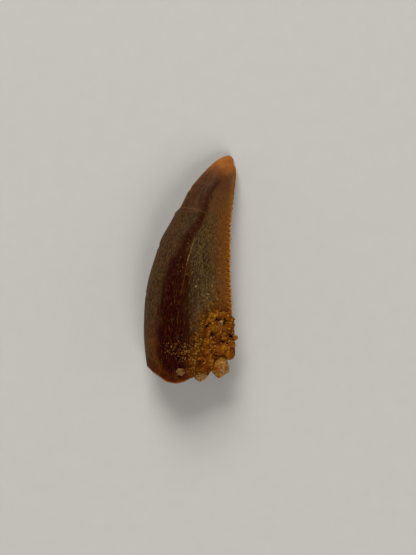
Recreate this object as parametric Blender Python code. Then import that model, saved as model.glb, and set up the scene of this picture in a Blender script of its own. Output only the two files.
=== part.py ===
"""A shed fossil tooth of a meat-eating dinosaur, lying on its flatter side.

The crown's apex points to +Y, its serrated back edge to +X and the face that is looked at to +Z.
Sandstone is still cemented over the lower back corner and round the broken base below it, and
quartz sand grains sit in the sandstone and on the crown. The origin is on the ground under the
middle of the whole.

All lengths are in millimetres until new_object and place turn them into metres.
"""
import math

import bmesh
import bpy
import numpy as np
from mathutils import Vector

MM = 0.001

# Crown outline, as smooth lines through (height Y, place X) points.
APEX_Y = 10.0
APEX_ROUND = 0.26                   # height over which the apex closes
FRONT_EDGE = [
    (-10.0, -3.74), (-8.6, -3.90), (-7.9, -4.00), (-6.4, -4.16), (-4.3, -4.17), (-2.7, -4.08),
    (-1.0, -3.81), (1.2, -3.14), (2.8, -2.60), (3.9, -1.97), (4.7, -1.55), (5.0, -1.41),
    (5.2, -1.19), (5.8, -0.81), (6.3, -0.57), (7.1, -0.12), (8.0, 0.62), (8.9, 1.43),
    (9.5, 2.02), (10.0, 2.52),
]
BACK_EDGE = [
    (-10.0, 3.40), (-7.5, 3.52), (-5.5, 3.60), (-3.5, 3.64), (-1.0, 3.54), (1.5, 3.52),
    (4.0, 3.56), (6.0, 3.69), (7.6, 3.84), (8.4, 3.92), (8.9, 3.90), (9.3, 3.76),
    (9.7, 3.72), (10.0, 3.66),
]

# Crown thickness. A share is half a thickness over the width from edge to edge. Roundness is at
# the base and at the apex: low makes the front edge round, high makes it sharp.
UPPER_SHARE = 0.27
UPPER_FRONT_ROUND = (0.50, 0.80)
UPPER_BACK_TAPER = 1.10
LOWER_SHARE = 0.24
LOWER_FRONT_ROUND = (0.60, 0.80)
LOWER_BACK_TAPER = 0.90
# Height of the underside above the ground, where less than nothing is worn flat.
UNDERSIDE_RISE = [(-10.0, 0.10), (-8.0, -0.05), (-4.0, -0.06), (0.0, 0.12), (4.0, 0.26),
                  (7.0, 0.14), (9.0, -0.02), (10.0, 0.05)]

# Serrations along the back edge, counted from the apex end.
SERRATION_COUNT = 28
SERRATION_PITCH = 0.44
SERRATION_TOP = 7.10
SERRATION_DEPTH = 0.17
SERRATION_HALF_WIDTH = 0.25         # share of the pitch
WORN_SERRATIONS = 5
DEEP_NOTCHES = (11, 14)
DEEPER = 1.5
SERRATED_FROM = 0.88                # share of the width where the notches start
SERRATIONS_END = SERRATION_TOP - SERRATION_COUNT * SERRATION_PITCH

# Old break across the upper crown, healed as a low step: (X, Y) points.
STEP_LINE = [(-1.2, 5.45), (-0.7, 5.40), (0.6, 5.20), (1.5, 4.80), (2.6, 4.30)]
STEP_HEIGHT = 0.07
STEP_HALF_WIDTH = 0.06
STEP_FADE = 1.6

# Broken base: (share of the width, height) of the rim, and the hollow inside it.
UPPER_RIM = [(0.0, -8.52), (0.06, -9.05), (0.12, -9.38), (0.21, -9.88), (0.31, -10.12), (0.45, -9.76),
             (0.52, -9.52), (0.57, -9.32), (0.62, -9.06), (0.70, -8.60), (0.78, -8.02), (0.87, -7.58),
             (1.0, -7.56)]
LOWER_RIM_LIFT = 0.28
BASE_STEPS = (0.97, 0.90, 0.74, 0.54, 0.30)     # the rim drawn in towards the middle of the base
BASE_HOLLOW = 0.90
BASE_ROUGHNESS = 0.16

# Crown mesh.
RING_HALF = 12                      # faces round each half of a ring
APEX_RINGS = 11
APEX_CROWDING = 2.4
LOWER_RINGS = (0.12, 0.30, 0.50, 0.70, 0.87, 0.97)      # shares of the way down to the rim

# Sandstone crust. A path across it runs from 0 at the front edge over the upper face to 1 at the
# back edge, and on past 1 round to the underside. The sides are (share of the way down, path).
CRUST_TOP = [(0.66, -4.60), (0.72, -3.95), (0.78, -3.45), (0.87, -3.50), (0.93, -3.85), (1.0, -4.35)]
CRUST_LEFT = [(0.0, 0.70), (0.12, 0.665), (0.20, 0.68), (0.30, 0.645), (0.40, 0.65), (0.50, 0.615),
              (0.60, 0.62), (0.70, 0.585), (0.80, 0.595), (0.90, 0.57), (1.0, 0.60)]
CRUST_RIGHT = [(0.0, 1.02), (0.20, 1.03), (0.40, 1.08), (0.70, 1.12), (1.0, 1.24)]
CRUST_GAP = 0.05
CRUST_THICKNESS = 0.24
CRUST_THINNEST = 0.07
CRUST_EDGE_SHARE = 0.45             # of the thickness, left at the crust's own edge
CRUST_BASE_THICKNESS = 0.62
CRUST_BASE_STEPS = (0.88, 0.74, 0.58, 0.40)
CRUST_ROWS = 20
CRUST_COLUMNS_OVER = 13
CRUST_COLUMNS_UNDER = 5
WAVES = 0.05
# Lumps and pits as (X, Y, radius, height or depth).
CRUST_LUMPS = [(2.95, -7.10, 0.85, 0.30), (1.40, -8.05, 0.36, 0.28), (1.93, -6.90, 0.60, 0.18),
               (1.25, -6.35, 0.45, 0.14), (2.46, -5.30, 0.60, 0.20), (1.72, -4.75, 0.38, 0.14),
               (2.95, -4.00, 0.35, 0.10), (0.75, -8.20, 0.40, 0.14), (2.15, -3.85, 0.30, 0.10)]
CRUST_PITS = [(3.40, -5.82, 0.26, 0.30), (2.95, -4.50, 0.24, 0.22), (2.17, -4.40, 0.22, 0.18),
              (1.76, -5.69, 0.30, 0.20), (1.85, -6.27, 0.20, 0.14), (2.62, -6.35, 0.26, 0.20),
              (2.30, -7.55, 0.34, 0.20)]

# Quartz grains: corners of the outline about the grain's middle, seen from above.
LARGE_CORNERS = [(0.11, 0.98), (-0.59, 0.69), (-0.91, 0.04), (-0.59, -0.51), (-0.08, -0.90),
                 (0.44, -0.54), (0.86, -0.25), (0.63, 0.55)]
MIDDLE_CORNERS = [(-0.30, 0.38), (-0.57, 0.08), (-0.32, -0.30), (0.05, -0.42), (0.40, -0.20),
                  (0.57, 0.10), (0.35, 0.36)]
LEFT_CORNERS = [(-0.22, 0.33), (-0.42, 0.04), (-0.26, -0.27), (0.10, -0.34), (0.38, -0.12), (0.33, 0.26)]
EDGE_CORNERS = [(-0.17, 0.22), (-0.24, -0.10), (-0.05, -0.27), (0.18, -0.22), (0.24, 0.05), (0.12, 0.24)]
UPPER_CORNERS = [(-0.08, 0.25), (-0.22, 0.06), (-0.18, -0.18), (0.02, -0.26), (0.20, -0.10), (0.18, 0.16)]
GRAIN_GAP = 0.04
# A grain's layers: share of half its depth, size, and shift in shares of its reach.
GRAIN_LAYERS = [(-1.0, 0.50, 0.06, 0.02), (-0.25, 1.0, 0.0, 0.0), (0.30, 0.96, 0.0, 0.0),
                (1.0, 0.55, -0.05, 0.04)]


def smooth_line(points):
    """A smooth line through (place, value) points, level beyond its two ends."""
    places, values = np.array(points, float).T
    slopes = np.gradient(values, places)

    def value_at(place):
        k = np.clip(np.searchsorted(places, place) - 1, 0, len(places) - 2)
        span = places[k + 1] - places[k]
        t = np.clip((place - places[k]) / span, 0.0, 1.0)
        from_here = (1 + 2 * t) * (1 - t) ** 2 * values[k] + t * (1 - t) ** 2 * span * slopes[k]
        from_next = t * t * (3 - 2 * t) * values[k + 1] - t * t * (1 - t) * span * slopes[k + 1]
        return from_here + from_next

    return value_at


def ease(low, high, value):
    """0 at low, 1 at high, an even curve between them and level beyond."""
    t = np.clip((value - low) / (high - low), 0.0, 1.0)
    return t * t * (3 - 2 * t)


def between(ends, share):
    return ends[0] + share * (ends[1] - ends[0])


front_edge = smooth_line(FRONT_EDGE)
back_edge = smooth_line(BACK_EDGE)
underside_rise = smooth_line(UNDERSIDE_RISE)
step_line = smooth_line(STEP_LINE)
upper_rim = smooth_line(UPPER_RIM)
crust_top = smooth_line(CRUST_TOP)
crust_left = smooth_line(CRUST_LEFT)
crust_right = smooth_line(CRUST_RIGHT)


def fullness(u, front_round, back_taper):
    """Thickness over the share u of the width, 1 where the section is thickest."""
    thickest = front_round / (front_round + back_taper)
    peak = thickest ** front_round * (1 - thickest) ** back_taper
    return u ** front_round * (1 - u) ** back_taper / peak


def step_rise(x, y, u):
    """How far the face stands out below the healed break."""
    below = step_line(x) - y
    rise = STEP_HEIGHT * ease(-STEP_HALF_WIDTH, STEP_HALF_WIDTH, below)
    return rise * np.exp(-np.maximum(below, 0) / STEP_FADE) * ease(0.0, 0.15, u) * ease(0.85, 0.5, u)


def crown_point(y, u, side):
    """Points of the crown before its edge is notched.

    y is the height, u the share of the width from the front edge to the back edge, and side is
    1 on the upper face and -1 on the underside.
    """
    closing = np.clip((y - APEX_Y + APEX_ROUND) / APEX_ROUND, 0.0, 1.0)
    full_width = back_edge(y) - front_edge(y)
    width = full_width * np.sqrt(1 - closing ** 2)
    x = front_edge(y) + (full_width - width) / 2 + u * width
    along = (y + APEX_Y) / (2 * APEX_Y)
    upper = UPPER_SHARE * width * fullness(u, between(UPPER_FRONT_ROUND, along), UPPER_BACK_TAPER)
    lower = LOWER_SHARE * width * fullness(u, between(LOWER_FRONT_ROUND, along), LOWER_BACK_TAPER)
    middle = underside_rise(y) + LOWER_SHARE * width
    z = np.where(side > 0, middle + upper + step_rise(x, y, u), middle - lower)
    return np.stack([x, y + 0 * z, np.maximum(z, 0.0)], axis=-1)


def ring():
    """Share of the width and side of each point round a crown ring, from the front edge."""
    turn = np.arange(2 * RING_HALF) * math.pi / RING_HALF
    u = (1 - np.cos(turn)) / 2
    side = np.where(turn <= math.pi, 1.0, -1.0)
    return u, side


def rim_height(u, side):
    """Height of the broken rim, a little higher on the underside."""
    lift = LOWER_RIM_LIFT * ease(0.0, 0.2, u) * ease(1.0, 0.8, u)
    return upper_rim(u) + np.where(side > 0, 0.0, lift)


def base_middle():
    """Middle of the broken rim."""
    u, side = ring()
    return crown_point(rim_height(u, side), u, side).mean(axis=0)


def base_point(rim, drawn):
    """Points of the broken base: the rim drawn in to a share of its way from the middle."""
    middle = base_middle()
    point = middle + drawn * (rim - middle)
    x, z = point[..., 0], point[..., 2]
    depth = 1 - (drawn / BASE_STEPS[0]) ** 2
    rough = np.sin(1.9 * x + 0.6) * np.sin(2.3 * z + 0.4) + 0.6 * np.sin(3.1 * x + 1.1 * z)
    point[..., 1] += depth * (BASE_HOLLOW + BASE_ROUGHNESS * rough)
    return point


def serration_rows():
    """Rows down the serrated edge as (height, notch depth): two on each serration, one between."""
    rng = np.random.default_rng(7)
    rows = []
    for number in range(SERRATION_COUNT):
        tip = SERRATION_TOP - number * SERRATION_PITCH + rng.uniform(-0.03, 0.03)
        depth = SERRATION_DEPTH * ease(-1.0, WORN_SERRATIONS, number) * rng.uniform(0.85, 1.15)
        if number in DEEP_NOTCHES:
            depth *= DEEPER
        rows.append((tip + SERRATION_HALF_WIDTH * SERRATION_PITCH, 0.0))
        rows.append((tip - SERRATION_HALF_WIDTH * SERRATION_PITCH, 0.0))
        rows.append((SERRATION_TOP - (number + 0.5) * SERRATION_PITCH, depth))
    return rows


def new_object(name, points, faces, material, sharp_degrees):
    """Make one closed solid from points in millimetres."""
    mesh = bpy.data.meshes.new(name)
    mesh.from_pydata([tuple(point) for point in np.asarray(points) * MM], [], faces)
    work = bmesh.new()
    work.from_mesh(mesh)
    bmesh.ops.recalc_face_normals(work, faces=work.faces)
    work.to_mesh(mesh)
    work.free()
    mesh.shade_smooth()
    mesh.set_sharp_from_angle(angle=math.radians(sharp_degrees))
    mesh.materials.append(material)
    thing = bpy.data.objects.new(name, mesh)
    bpy.context.scene.collection.objects.link(thing)
    return thing


def new_material(name, colour, roughness):
    material = bpy.data.materials.new(name)
    material.use_nodes = True
    shader = material.node_tree.nodes["Principled BSDF"]
    shader.inputs["Base Color"].default_value = (*colour, 1.0)
    shader.inputs["Roughness"].default_value = roughness
    shader.inputs["Metallic"].default_value = 0.0
    return material


def quads(rows, columns, closed):
    """Faces between neighbouring rows of points; closed joins the last column to the first."""
    faces = []
    for row in range(rows - 1):
        for column in range(columns if closed else columns - 1):
            here = row * columns + column
            beside = row * columns + (column + 1) % columns
            faces.append((here, beside, beside + columns, here + columns))
    return faces


def crown_rings():
    """Rings of points from under the apex to the rim, then in over the broken base."""
    u, side = ring()
    notched = ease(SERRATED_FROM, 1.0, u)
    below_apex = APEX_Y - SERRATION_TOP - 0.6 * SERRATION_PITCH
    rows = [(APEX_Y - below_apex * (k / APEX_RINGS) ** APEX_CROWDING, 0.0) for k in range(1, APEX_RINGS)]
    rings = []
    for y, depth in rows + serration_rows():
        points = crown_point(np.full_like(u, y), u, side)
        points[:, 0] -= depth * notched
        rings.append(points)
    rim = rim_height(u, side)
    for share in LOWER_RINGS:
        rings.append(crown_point(SERRATIONS_END + share * (rim - SERRATIONS_END), u, side))
    rim_points = crown_point(rim, u, side)
    rings += [base_point(rim_points, drawn) for drawn in BASE_STEPS]
    return rings


def crown(material):
    """The tooth, closed by a point at the apex and one in the middle of the broken base."""
    rings = crown_rings()
    count = len(rings[0])
    apex = crown_point(np.array(APEX_Y), np.array(0.5), 1)
    points = [apex, *np.concatenate(rings), base_point(base_middle(), 0.0)]
    faces = [tuple(1 + corner for corner in face) for face in quads(len(rings), count, True)]
    last_ring = 1 + (len(rings) - 1) * count
    for column in range(count):
        beside = (column + 1) % count
        faces.append((0, 1 + beside, 1 + column))
        faces.append((last_ring + column, last_ring + beside, last_ring + count))
    return new_object("tooth_crown", points, faces, material, 50)


def crust_path(row_share):
    """Places across one row of crust, with a column exactly on the crown's back edge."""
    over = np.linspace(crust_left(row_share), 1.0, CRUST_COLUMNS_OVER)
    under = np.linspace(1.0, crust_right(row_share), CRUST_COLUMNS_UNDER)[1:]
    return np.concatenate([over, under])


def crust_bed():
    """The stretch of crown that the crust covers, with rows down the face and in under the base."""
    rows = []
    for share in np.linspace(0.0, 1.0, CRUST_ROWS):
        path = crust_path(share)
        u = np.where(path > 1, 2 - path, path)
        side = np.where(path > 1, -1.0, 1.0)
        top = crust_top(u)
        rows.append(crown_point(top + share * (rim_height(u, side) - top), u, side))
    rim_row = rows[-1]
    rows += [base_point(rim_row, drawn) for drawn in CRUST_BASE_STEPS]
    return np.array(rows)


def outward(bed):
    """Unit directions out of the crown at each point of the bed."""
    down = np.gradient(bed, axis=0)
    across = np.gradient(bed, axis=1)
    normal = np.cross(down, across)
    return normal / np.linalg.norm(normal, axis=-1, keepdims=True)


def bumps(x, y, features):
    """Sum of round features, each (X, Y, radius, height)."""
    total = 0 * x
    for feature_x, feature_y, radius, height in features:
        away = np.hypot(x - feature_x, y - feature_y)
        total = total + height * ease(1.25 * radius, 0.5 * radius, away)
    return total


def crust_thickness(bed):
    """How thick the crust is over each point of the bed."""
    rows, columns = bed.shape[:2]
    x, y, z = np.moveaxis(bed, -1, 0)
    row, column = np.indices((rows, columns))
    under_base = ease(CRUST_ROWS - 4, CRUST_ROWS - 1, row)
    on_edge = ease(0.45, 0.05, back_edge(y) - x)
    face = CRUST_THICKNESS * (1 - 0.5 * on_edge * ease(-6.3, -5.3, y))
    swelling = (CRUST_BASE_THICKNESS - CRUST_THICKNESS) * ease(0.4, 1.9, x) * (1 - 0.6 * on_edge)
    thick = face + (CRUST_THICKNESS + swelling - face) * under_base
    thick = thick + WAVES * np.sin(5.1 * x + 1.3 * y) * np.sin(4.3 * y - 2.0 * x + 1.0) * (1 - on_edge)
    relief = bumps(x, y, CRUST_LUMPS) * (1 - 0.9 * on_edge) - bumps(x, y, CRUST_PITS)
    thick = thick + relief * (1 - under_base)
    steps_in = np.minimum.reduce([row, rows - 1 - row, column, columns - 1 - column])
    thin_edge = CRUST_EDGE_SHARE + (1 - CRUST_EDGE_SHARE) * ease(0.0, 2.0, steps_in)
    return np.maximum(thick * thin_edge, CRUST_THINNEST)


def crust(material):
    """The sandstone: the bed lifted by a hair, and lifted again by the crust's thickness."""
    bed = crust_bed()
    up = outward(bed)
    inner = bed + CRUST_GAP * up
    outer = inner + crust_thickness(bed)[..., None] * up
    rows, columns = bed.shape[:2]
    count = rows * columns
    faces = quads(rows, columns, False)
    faces += [tuple(count + corner for corner in face) for face in faces]
    index = np.arange(count).reshape(rows, columns)
    border = [*index[0, :-1], *index[:-1, -1], *index[-1, :0:-1], *index[:0:-1, 0]]
    for here, beside in zip(border, border[1:] + border[:1]):
        faces.append((int(here), int(beside), int(beside) + count, int(here) + count))
    points = np.concatenate([outer.reshape(-1, 3), inner.reshape(-1, 3)])
    return new_object("sandstone_crust", points, faces, material, 55)


def grain_solid(name, corners, depth, material, grow=0.0):
    """A many-sided grain about its own middle, with flat faces; grow moves every face out."""
    corners = np.array(corners, float)
    reach = np.linalg.norm(corners, axis=1).mean()
    wider = 1 + grow / (0.8 * reach)
    points = []
    for level, share, shift_x, shift_y in GRAIN_LAYERS:
        for x, y in corners * wider * share:
            points.append((x + shift_x * reach, y + shift_y * reach, level * (depth / 2 + grow)))
    count = len(corners)
    faces = quads(len(GRAIN_LAYERS), count, True)
    faces.append(tuple(range(count)))
    faces.append(tuple(range(len(points) - count, len(points))))
    return new_object(name, points, faces, material, 20)


def place(thing, middle, up):
    """Set a grain down with its middle at a point in millimetres and its depth along up."""
    thing.rotation_mode = "QUATERNION"
    thing.rotation_quaternion = Vector((0, 0, 1)).rotation_difference(Vector(up).normalized())
    thing.location = Vector(middle) * MM


def on_crown(x, y, lift):
    """A point lift above the crown's upper face, and the direction out of the face there."""
    near = 0.02
    u = (x - front_edge(y)) / (back_edge(y) - front_edge(y))
    here = crown_point(np.array(y), np.array(u), 1)
    across = crown_point(np.array(y), np.array(u + near), 1) - here
    along = crown_point(np.array(y + near), np.array(u), 1) - here
    up = np.cross(across, along)
    up /= np.linalg.norm(up)
    return here + lift * up, up


def grain_with_pocket(name, corners, depth, middle, up, holder, material):
    """One quartz grain, and the pocket that it sits in, cut in what holds it."""
    place(grain_solid(name, corners, depth, material), middle, up)
    pocket = grain_solid(name + "_pocket", corners, depth, material, grow=GRAIN_GAP)
    place(pocket, middle, up)
    pocket.hide_render = True
    pocket.display_type = "WIRE"
    cut = holder.modifiers.new(pocket.name, "BOOLEAN")
    cut.operation = "DIFFERENCE"
    cut.solver = "EXACT"
    cut.object = pocket


def main():
    for thing in list(bpy.data.objects):
        bpy.data.objects.remove(thing, do_unlink=True)
    enamel = new_material("enamel", (0.080, 0.028, 0.012), 0.32)
    sandstone = new_material("sandstone", (0.32, 0.16, 0.045), 0.92)
    quartz = new_material("quartz", (0.55, 0.42, 0.25), 0.30)
    tooth = crown(enamel)
    stone = crust(sandstone)
    grain_with_pocket("quartz_grain_large", LARGE_CORNERS, 1.55,
                      (2.51, -8.64, 2.38), (0.10, -0.16, 1.0), stone, quartz)
    grain_with_pocket("quartz_grain_middle", MIDDLE_CORNERS, 0.90,
                      (0.82, -9.50, 2.92), (0.10, -0.20, 1.0), stone, quartz)
    grain_with_pocket("quartz_grain_edge", EDGE_CORNERS, 0.44,
                      (3.94, -5.98, 2.02), (0.20, 0.05, 1.0), stone, quartz)
    grain_with_pocket("quartz_grain_upper", UPPER_CORNERS, 0.36,
                      *on_crown(2.59, -4.72, 0.30), stone, quartz)
    grain_with_pocket("quartz_grain_left", LEFT_CORNERS, 0.54,
                      *on_crown(-0.91, -8.97, 0.08), tooth, quartz)


main()
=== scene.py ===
"""The dressed model of a shed fossil tooth of a meat-eating dinosaur.

The tooth lies on its flatter side: its apex points to +Y, its serrated back edge to +X and the
face that is looked at to +Z. Sandstone, loose sand and quartz grains are still on its lower end.

Lengths are in millimetres until new_piece turns them into metres.
"""
import itertools
import math

import bmesh
import bpy
import numpy as np
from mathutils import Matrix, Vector


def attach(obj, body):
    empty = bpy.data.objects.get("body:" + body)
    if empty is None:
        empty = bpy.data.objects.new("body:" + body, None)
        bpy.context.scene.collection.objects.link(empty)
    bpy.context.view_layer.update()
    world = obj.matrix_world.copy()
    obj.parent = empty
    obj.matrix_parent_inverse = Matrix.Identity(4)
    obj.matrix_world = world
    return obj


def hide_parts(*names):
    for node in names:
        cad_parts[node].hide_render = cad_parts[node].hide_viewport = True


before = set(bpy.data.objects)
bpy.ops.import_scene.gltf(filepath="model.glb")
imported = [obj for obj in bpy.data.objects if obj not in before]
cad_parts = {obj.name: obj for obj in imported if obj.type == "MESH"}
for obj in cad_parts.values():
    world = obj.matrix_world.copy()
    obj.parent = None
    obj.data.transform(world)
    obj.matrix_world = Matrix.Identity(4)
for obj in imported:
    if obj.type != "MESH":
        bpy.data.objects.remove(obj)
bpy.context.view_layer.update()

MM = 0.001

# Crown outline, as smooth lines through (height Y, place X) points.
APEX_Y = 10.0
APEX_ROUND = 0.42
FRONT_EDGE = [
    (-10.0, -3.68), (-8.6, -3.84), (-7.9, -3.94), (-6.4, -4.1), (-4.3, -4.12), (-2.7, -4.03),
    (-1.0, -3.76), (1.2, -3.09), (2.8, -2.55), (3.9, -1.92), (4.7, -1.5), (5.0, -1.36),
    (5.2, -1.14), (5.8, -0.76), (6.3, -0.52), (7.1, -0.07), (8.0, 0.67), (8.9, 1.5),
    (9.5, 2.17), (10.0, 2.88),
]
BACK_EDGE = [
    (-10.0, 3.4), (-7.5, 3.52), (-5.5, 3.6), (-3.5, 3.64), (-1.0, 3.54), (1.5, 3.52),
    (4.0, 3.57), (6.0, 3.73), (7.6, 3.9), (8.4, 3.97), (8.9, 3.92), (9.2, 3.77),
    (9.6, 3.74), (10.0, 3.68),
]

# Crown thickness, as shares of the width, and how round its front edge is at the base and apex.
UPPER_SHARE = 0.27
UPPER_FRONT_ROUND = (0.5, 0.8)
UPPER_BACK_TAPER = 1.1
LOWER_SHARE = 0.24
LOWER_FRONT_ROUND = (0.6, 0.8)
LOWER_BACK_TAPER = 0.9
UNDERSIDE_RISE = [(-10.0, 0.1), (-8.0, -0.05), (-4.0, -0.06), (0.0, 0.12), (4.0, 0.26),
                  (7.0, 0.14), (9.0, -0.02), (10.0, 0.05)]

# Serrations along the back edge, counted from the apex end. Widths are shares of the pitch.
SERRATION_COUNT = 28
SERRATION_PITCH = 0.44
SERRATION_TOP = 7.1
SERRATION_DEPTH = 0.125
WORN_SERRATIONS = 5
DEEP_NOTCHES = (11, 14)
DEEPER = 1.5
SERRATIONS_END = SERRATION_TOP - SERRATION_COUNT * SERRATION_PITCH
SLIT_HALF_WIDTH = 0.16
SLIT_REACH = 0.58
SLIT_REACH_SPREAD = (0.8, 1.25)
TOP_SLIT_SHARE = 0.5
SLIT_GROOVE = 0.6
SLIT_LEAN = 0.2
SLIT_SHARE = 0.6
PAD_BULGE = 0.25
NOTCH_SPREAD = (0.85, 1.15)
DEEPEST_CUT = 1.2

# Old break across the upper crown, healed as a low step: (X, Y) points. The step fades out below
# and towards two shares of the width.
STEP_LINE = [(-1.2, 5.45), (-0.7, 5.4), (0.6, 5.2), (1.5, 4.8), (2.6, 4.3)]
STEP_HEIGHT = 0.07
STEP_HALF_WIDTH = 0.05
STEP_FADE = 1.6
STEP_ENDS = ((0.0, 0.15), (0.85, 0.5))

# Hairline cracks along the crown, as (Y, X) points, and scallops chipped from its front edge, as
# (X, Y, radius, height).
LONG_CRACK = [(-2.3, -0.9), (-1.95, -0.826), (-0.8, -0.59), (0.69, -0.316), (1.84, 0.053),
              (2.59, 0.29)]
SHORT_CRACK = [(-0.9, -0.06), (0.29, 0.09)]
FRONT_CHIPS = [(-0.13, 7.05, 0.22, -0.05), (-2.93, 2.04, 0.24, -0.05),
               (-4.05, -2.2, 0.2, -0.03)]

# The darker heart of the crown: share of the width at its left and right limits, by height.
HEART_LEFT = [(-9.5, 0.2), (-8.0, 0.15), (-7.1, 0.122), (-6.2, 0.134), (-4.5, 0.16),
              (-0.5, 0.195), (0.6, 0.215), (1.7, 0.283), (2.9, 0.3), (3.5, 0.33), (3.9, 0.372),
              (4.6, 0.43), (5.4, 0.385), (6.1, 0.39), (7.6, 0.5), (8.6, 0.53)]
HEART_RIGHT = [(-9.5, 0.66), (-8.0, 0.69), (-7.1, 0.67), (-6.2, 0.61), (-5.2, 0.555), (-4.5, 0.54),
               (-0.5, 0.52), (1.7, 0.445), (2.9, 0.475), (3.9, 0.52), (4.6, 0.55), (6.1, 0.53),
               (7.6, 0.59), (8.6, 0.61)]

# Broken base: (share of the width, height) of the rim, and the hollow inside it.
UPPER_RIM = [(0.0, -8.44), (0.06, -8.95), (0.12, -9.27), (0.21, -9.75), (0.31, -9.93), (0.45, -9.76),
             (0.52, -9.52), (0.57, -9.32), (0.62, -9.06), (0.7, -8.6), (0.78, -8.02), (0.87, -7.58),
             (1.0, -7.56)]
LOWER_RIM_LIFT = 0.28
LOWER_RIM_ENDS = 0.2
RIM_RAGGEDNESS = 0.045
RIM_RAG_SIZE = 0.7
BASE_EDGE = 0.97
BASE_HOLLOW = 0.9
BASE_ROUGHNESS = 0.16
ENAMEL_STEP = 0.05
HACKLE_DEPTH = 0.1
HACKLE_SIZE = 0.6

# Fine relief of the crown: depths and sizes of its swells, striae and pits, and how far down it
# is worn away at the apex.
SWELL_DEPTH = 0.016
SWELL_SIZE = 1.5
STRIAE_DEPTH = 0.005
PIT_DEPTH = 0.004
FINE_SIZE = 0.22
STRIAE_STRETCH = 0.1
APEX_WEAR = 0.8

# Detailed crown mesh. Its columns crowd towards both edges.
MEAN_WIDTH = 7.7
OVER_COLUMNS = 128
UNDER_COLUMNS = 82
FRONT_CROWDING = 0.25
BACK_CROWDING = 2.5
BACK_CROWDED_FROM = (0.88, 0.93)
ROWS_PER_SERRATION = 11
SLIT_CROWDING = 1.4
APEX_ROWS = 52
APEX_CROWDING = 1.6
LOWER_ROWS = 60
BREAK_ROWS = 30
BREAK_CROWDING = 1.5

# Sandstone crust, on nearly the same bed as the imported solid. Its top is (share of the width,
# height) and its sides are (share of the way down, share of the width).
RING_HALF = 12
CRUST_TOP = [(0.66, -4.6), (0.72, -3.95), (0.78, -3.5), (0.87, -3.45), (0.93, -3.65),
             (1.0, -3.95)]
CRUST_LEFT = [(0.0, 0.7), (0.12, 0.665), (0.2, 0.68), (0.3, 0.645), (0.4, 0.65), (0.5, 0.615),
              (0.6, 0.62), (0.7, 0.585), (0.8, 0.595), (0.9, 0.57), (1.0, 0.6)]
CRUST_RIGHT = [(0.0, 1.02), (0.2, 1.03), (0.4, 1.08), (0.7, 1.12), (1.0, 1.24)]
CRUST_GAP = 0.05
CRUST_THICKNESS = 0.24
CRUST_THINNEST = 0.07
CRUST_EDGE_SHARE = 0.45
CRUST_BASE_THICKNESS = 0.62
CRUST_BASE_STEPS = (0.88, 0.74, 0.58, 0.4)
CRUST_ROWS = 20
CRUST_COLUMNS_OVER = 13
CRUST_COLUMNS_UNDER = 5
CRUST_REFINED = 8
# It is thinner near the back edge, most of all higher up, and thicker under the base between two
# places X.
EDGE_THINNING = 0.07
EDGE_REACH = (0.45, 0.05)
UPPER_EDGE = (-6.3, -5.3)
BASE_SWELLING = ((0.4, 1.0), (1.95, 1.45))
# Its waves, fine grain and lace of ridges, and how deep its edge and its underside are let in.
WAVES = 0.05
CRUST_GRAIN = 0.03
CRUST_SINK = 0.06
LACE_HEIGHT = 0.06
LACE_SIZE = 0.34
LACE_WIDTH = 0.3
CRUST_ROOT = 0.05
CRUST_INSIDE = 0.06
# Larger lumps and pits, as (X, Y, radius, height or depth).
CRUST_LUMPS = [(2.95, -7.1, 0.85, 0.3), (1.4, -8.05, 0.36, 0.28), (1.93, -6.9, 0.6, 0.18),
               (1.25, -6.35, 0.45, 0.14), (2.46, -5.3, 0.6, 0.2), (1.72, -4.75, 0.38, 0.14),
               (2.95, -4.0, 0.35, 0.1), (0.75, -8.2, 0.4, 0.14), (2.15, -3.85, 0.3, 0.1)]
CRUST_PITS = [(3.4, -5.82, 0.26, 0.3), (2.95, -4.5, 0.24, 0.22), (2.17, -4.4, 0.22, 0.18),
              (1.76, -5.69, 0.3, 0.2), (1.85, -6.27, 0.2, 0.14), (2.62, -6.35, 0.26, 0.2),
              (2.3, -7.55, 0.34, 0.2)]
# Small deep holes in the crust, as (X, Y, radius, depth).
CRUST_HOLES = [(2.78, -4.34, 0.1, 0.2), (2.84, -4.52, 0.1, 0.24), (2.78, -4.7, 0.09, 0.18),
               (2.1, -4.36, 0.09, 0.13), (2.28, -4.5, 0.08, 0.12), (2.0, -4.2, 0.06, 0.09),
               (3.44, -5.85, 0.14, 0.3), (3.2, -5.62, 0.11, 0.1), (1.76, -5.68, 0.1, 0.12),
               (1.82, -6.2, 0.08, 0.09), (1.9, -6.5, 0.08, 0.09), (2.95, -6.48, 0.09, 0.1),
               (1.25, -7.55, 0.07, 0.08), (2.05, -7.55, 0.08, 0.08), (2.5, -3.88, 0.07, 0.1),
               (2.34, -3.72, 0.06, 0.08), (3.22, -3.92, 0.08, 0.08), (1.42, -6.05, 0.06, 0.08),
               (1.62, -7.1, 0.07, 0.08), (0.98, -8.05, 0.07, 0.08), (2.46, -5.3, 0.07, 0.08)]
# Single lumps on the crust, and where its grain is worn smooth: (X, Y, radius, height or share).
SMALL_LUMPS = [(2.41, -6.99, 0.45, 0.13), (2.11, -5.16, 0.42, 0.1), (3.28, -4.95, 0.36, 0.06),
               (3.66, -4.25, 0.2, 0.15), (2.72, -6.05, 0.28, 0.08), (3.1, -7.55, 0.5, 0.09)]
SMOOTH_SPOTS = [(3.0, -7.1, 0.9, 0.75), (1.4, -8.05, 0.36, 0.6), (2.41, -6.99, 0.4, 0.4),
                (2.11, -5.16, 0.4, 0.45), (3.28, -4.95, 0.4, 0.35)]
SMOOTH_TINT = 0.2
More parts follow.
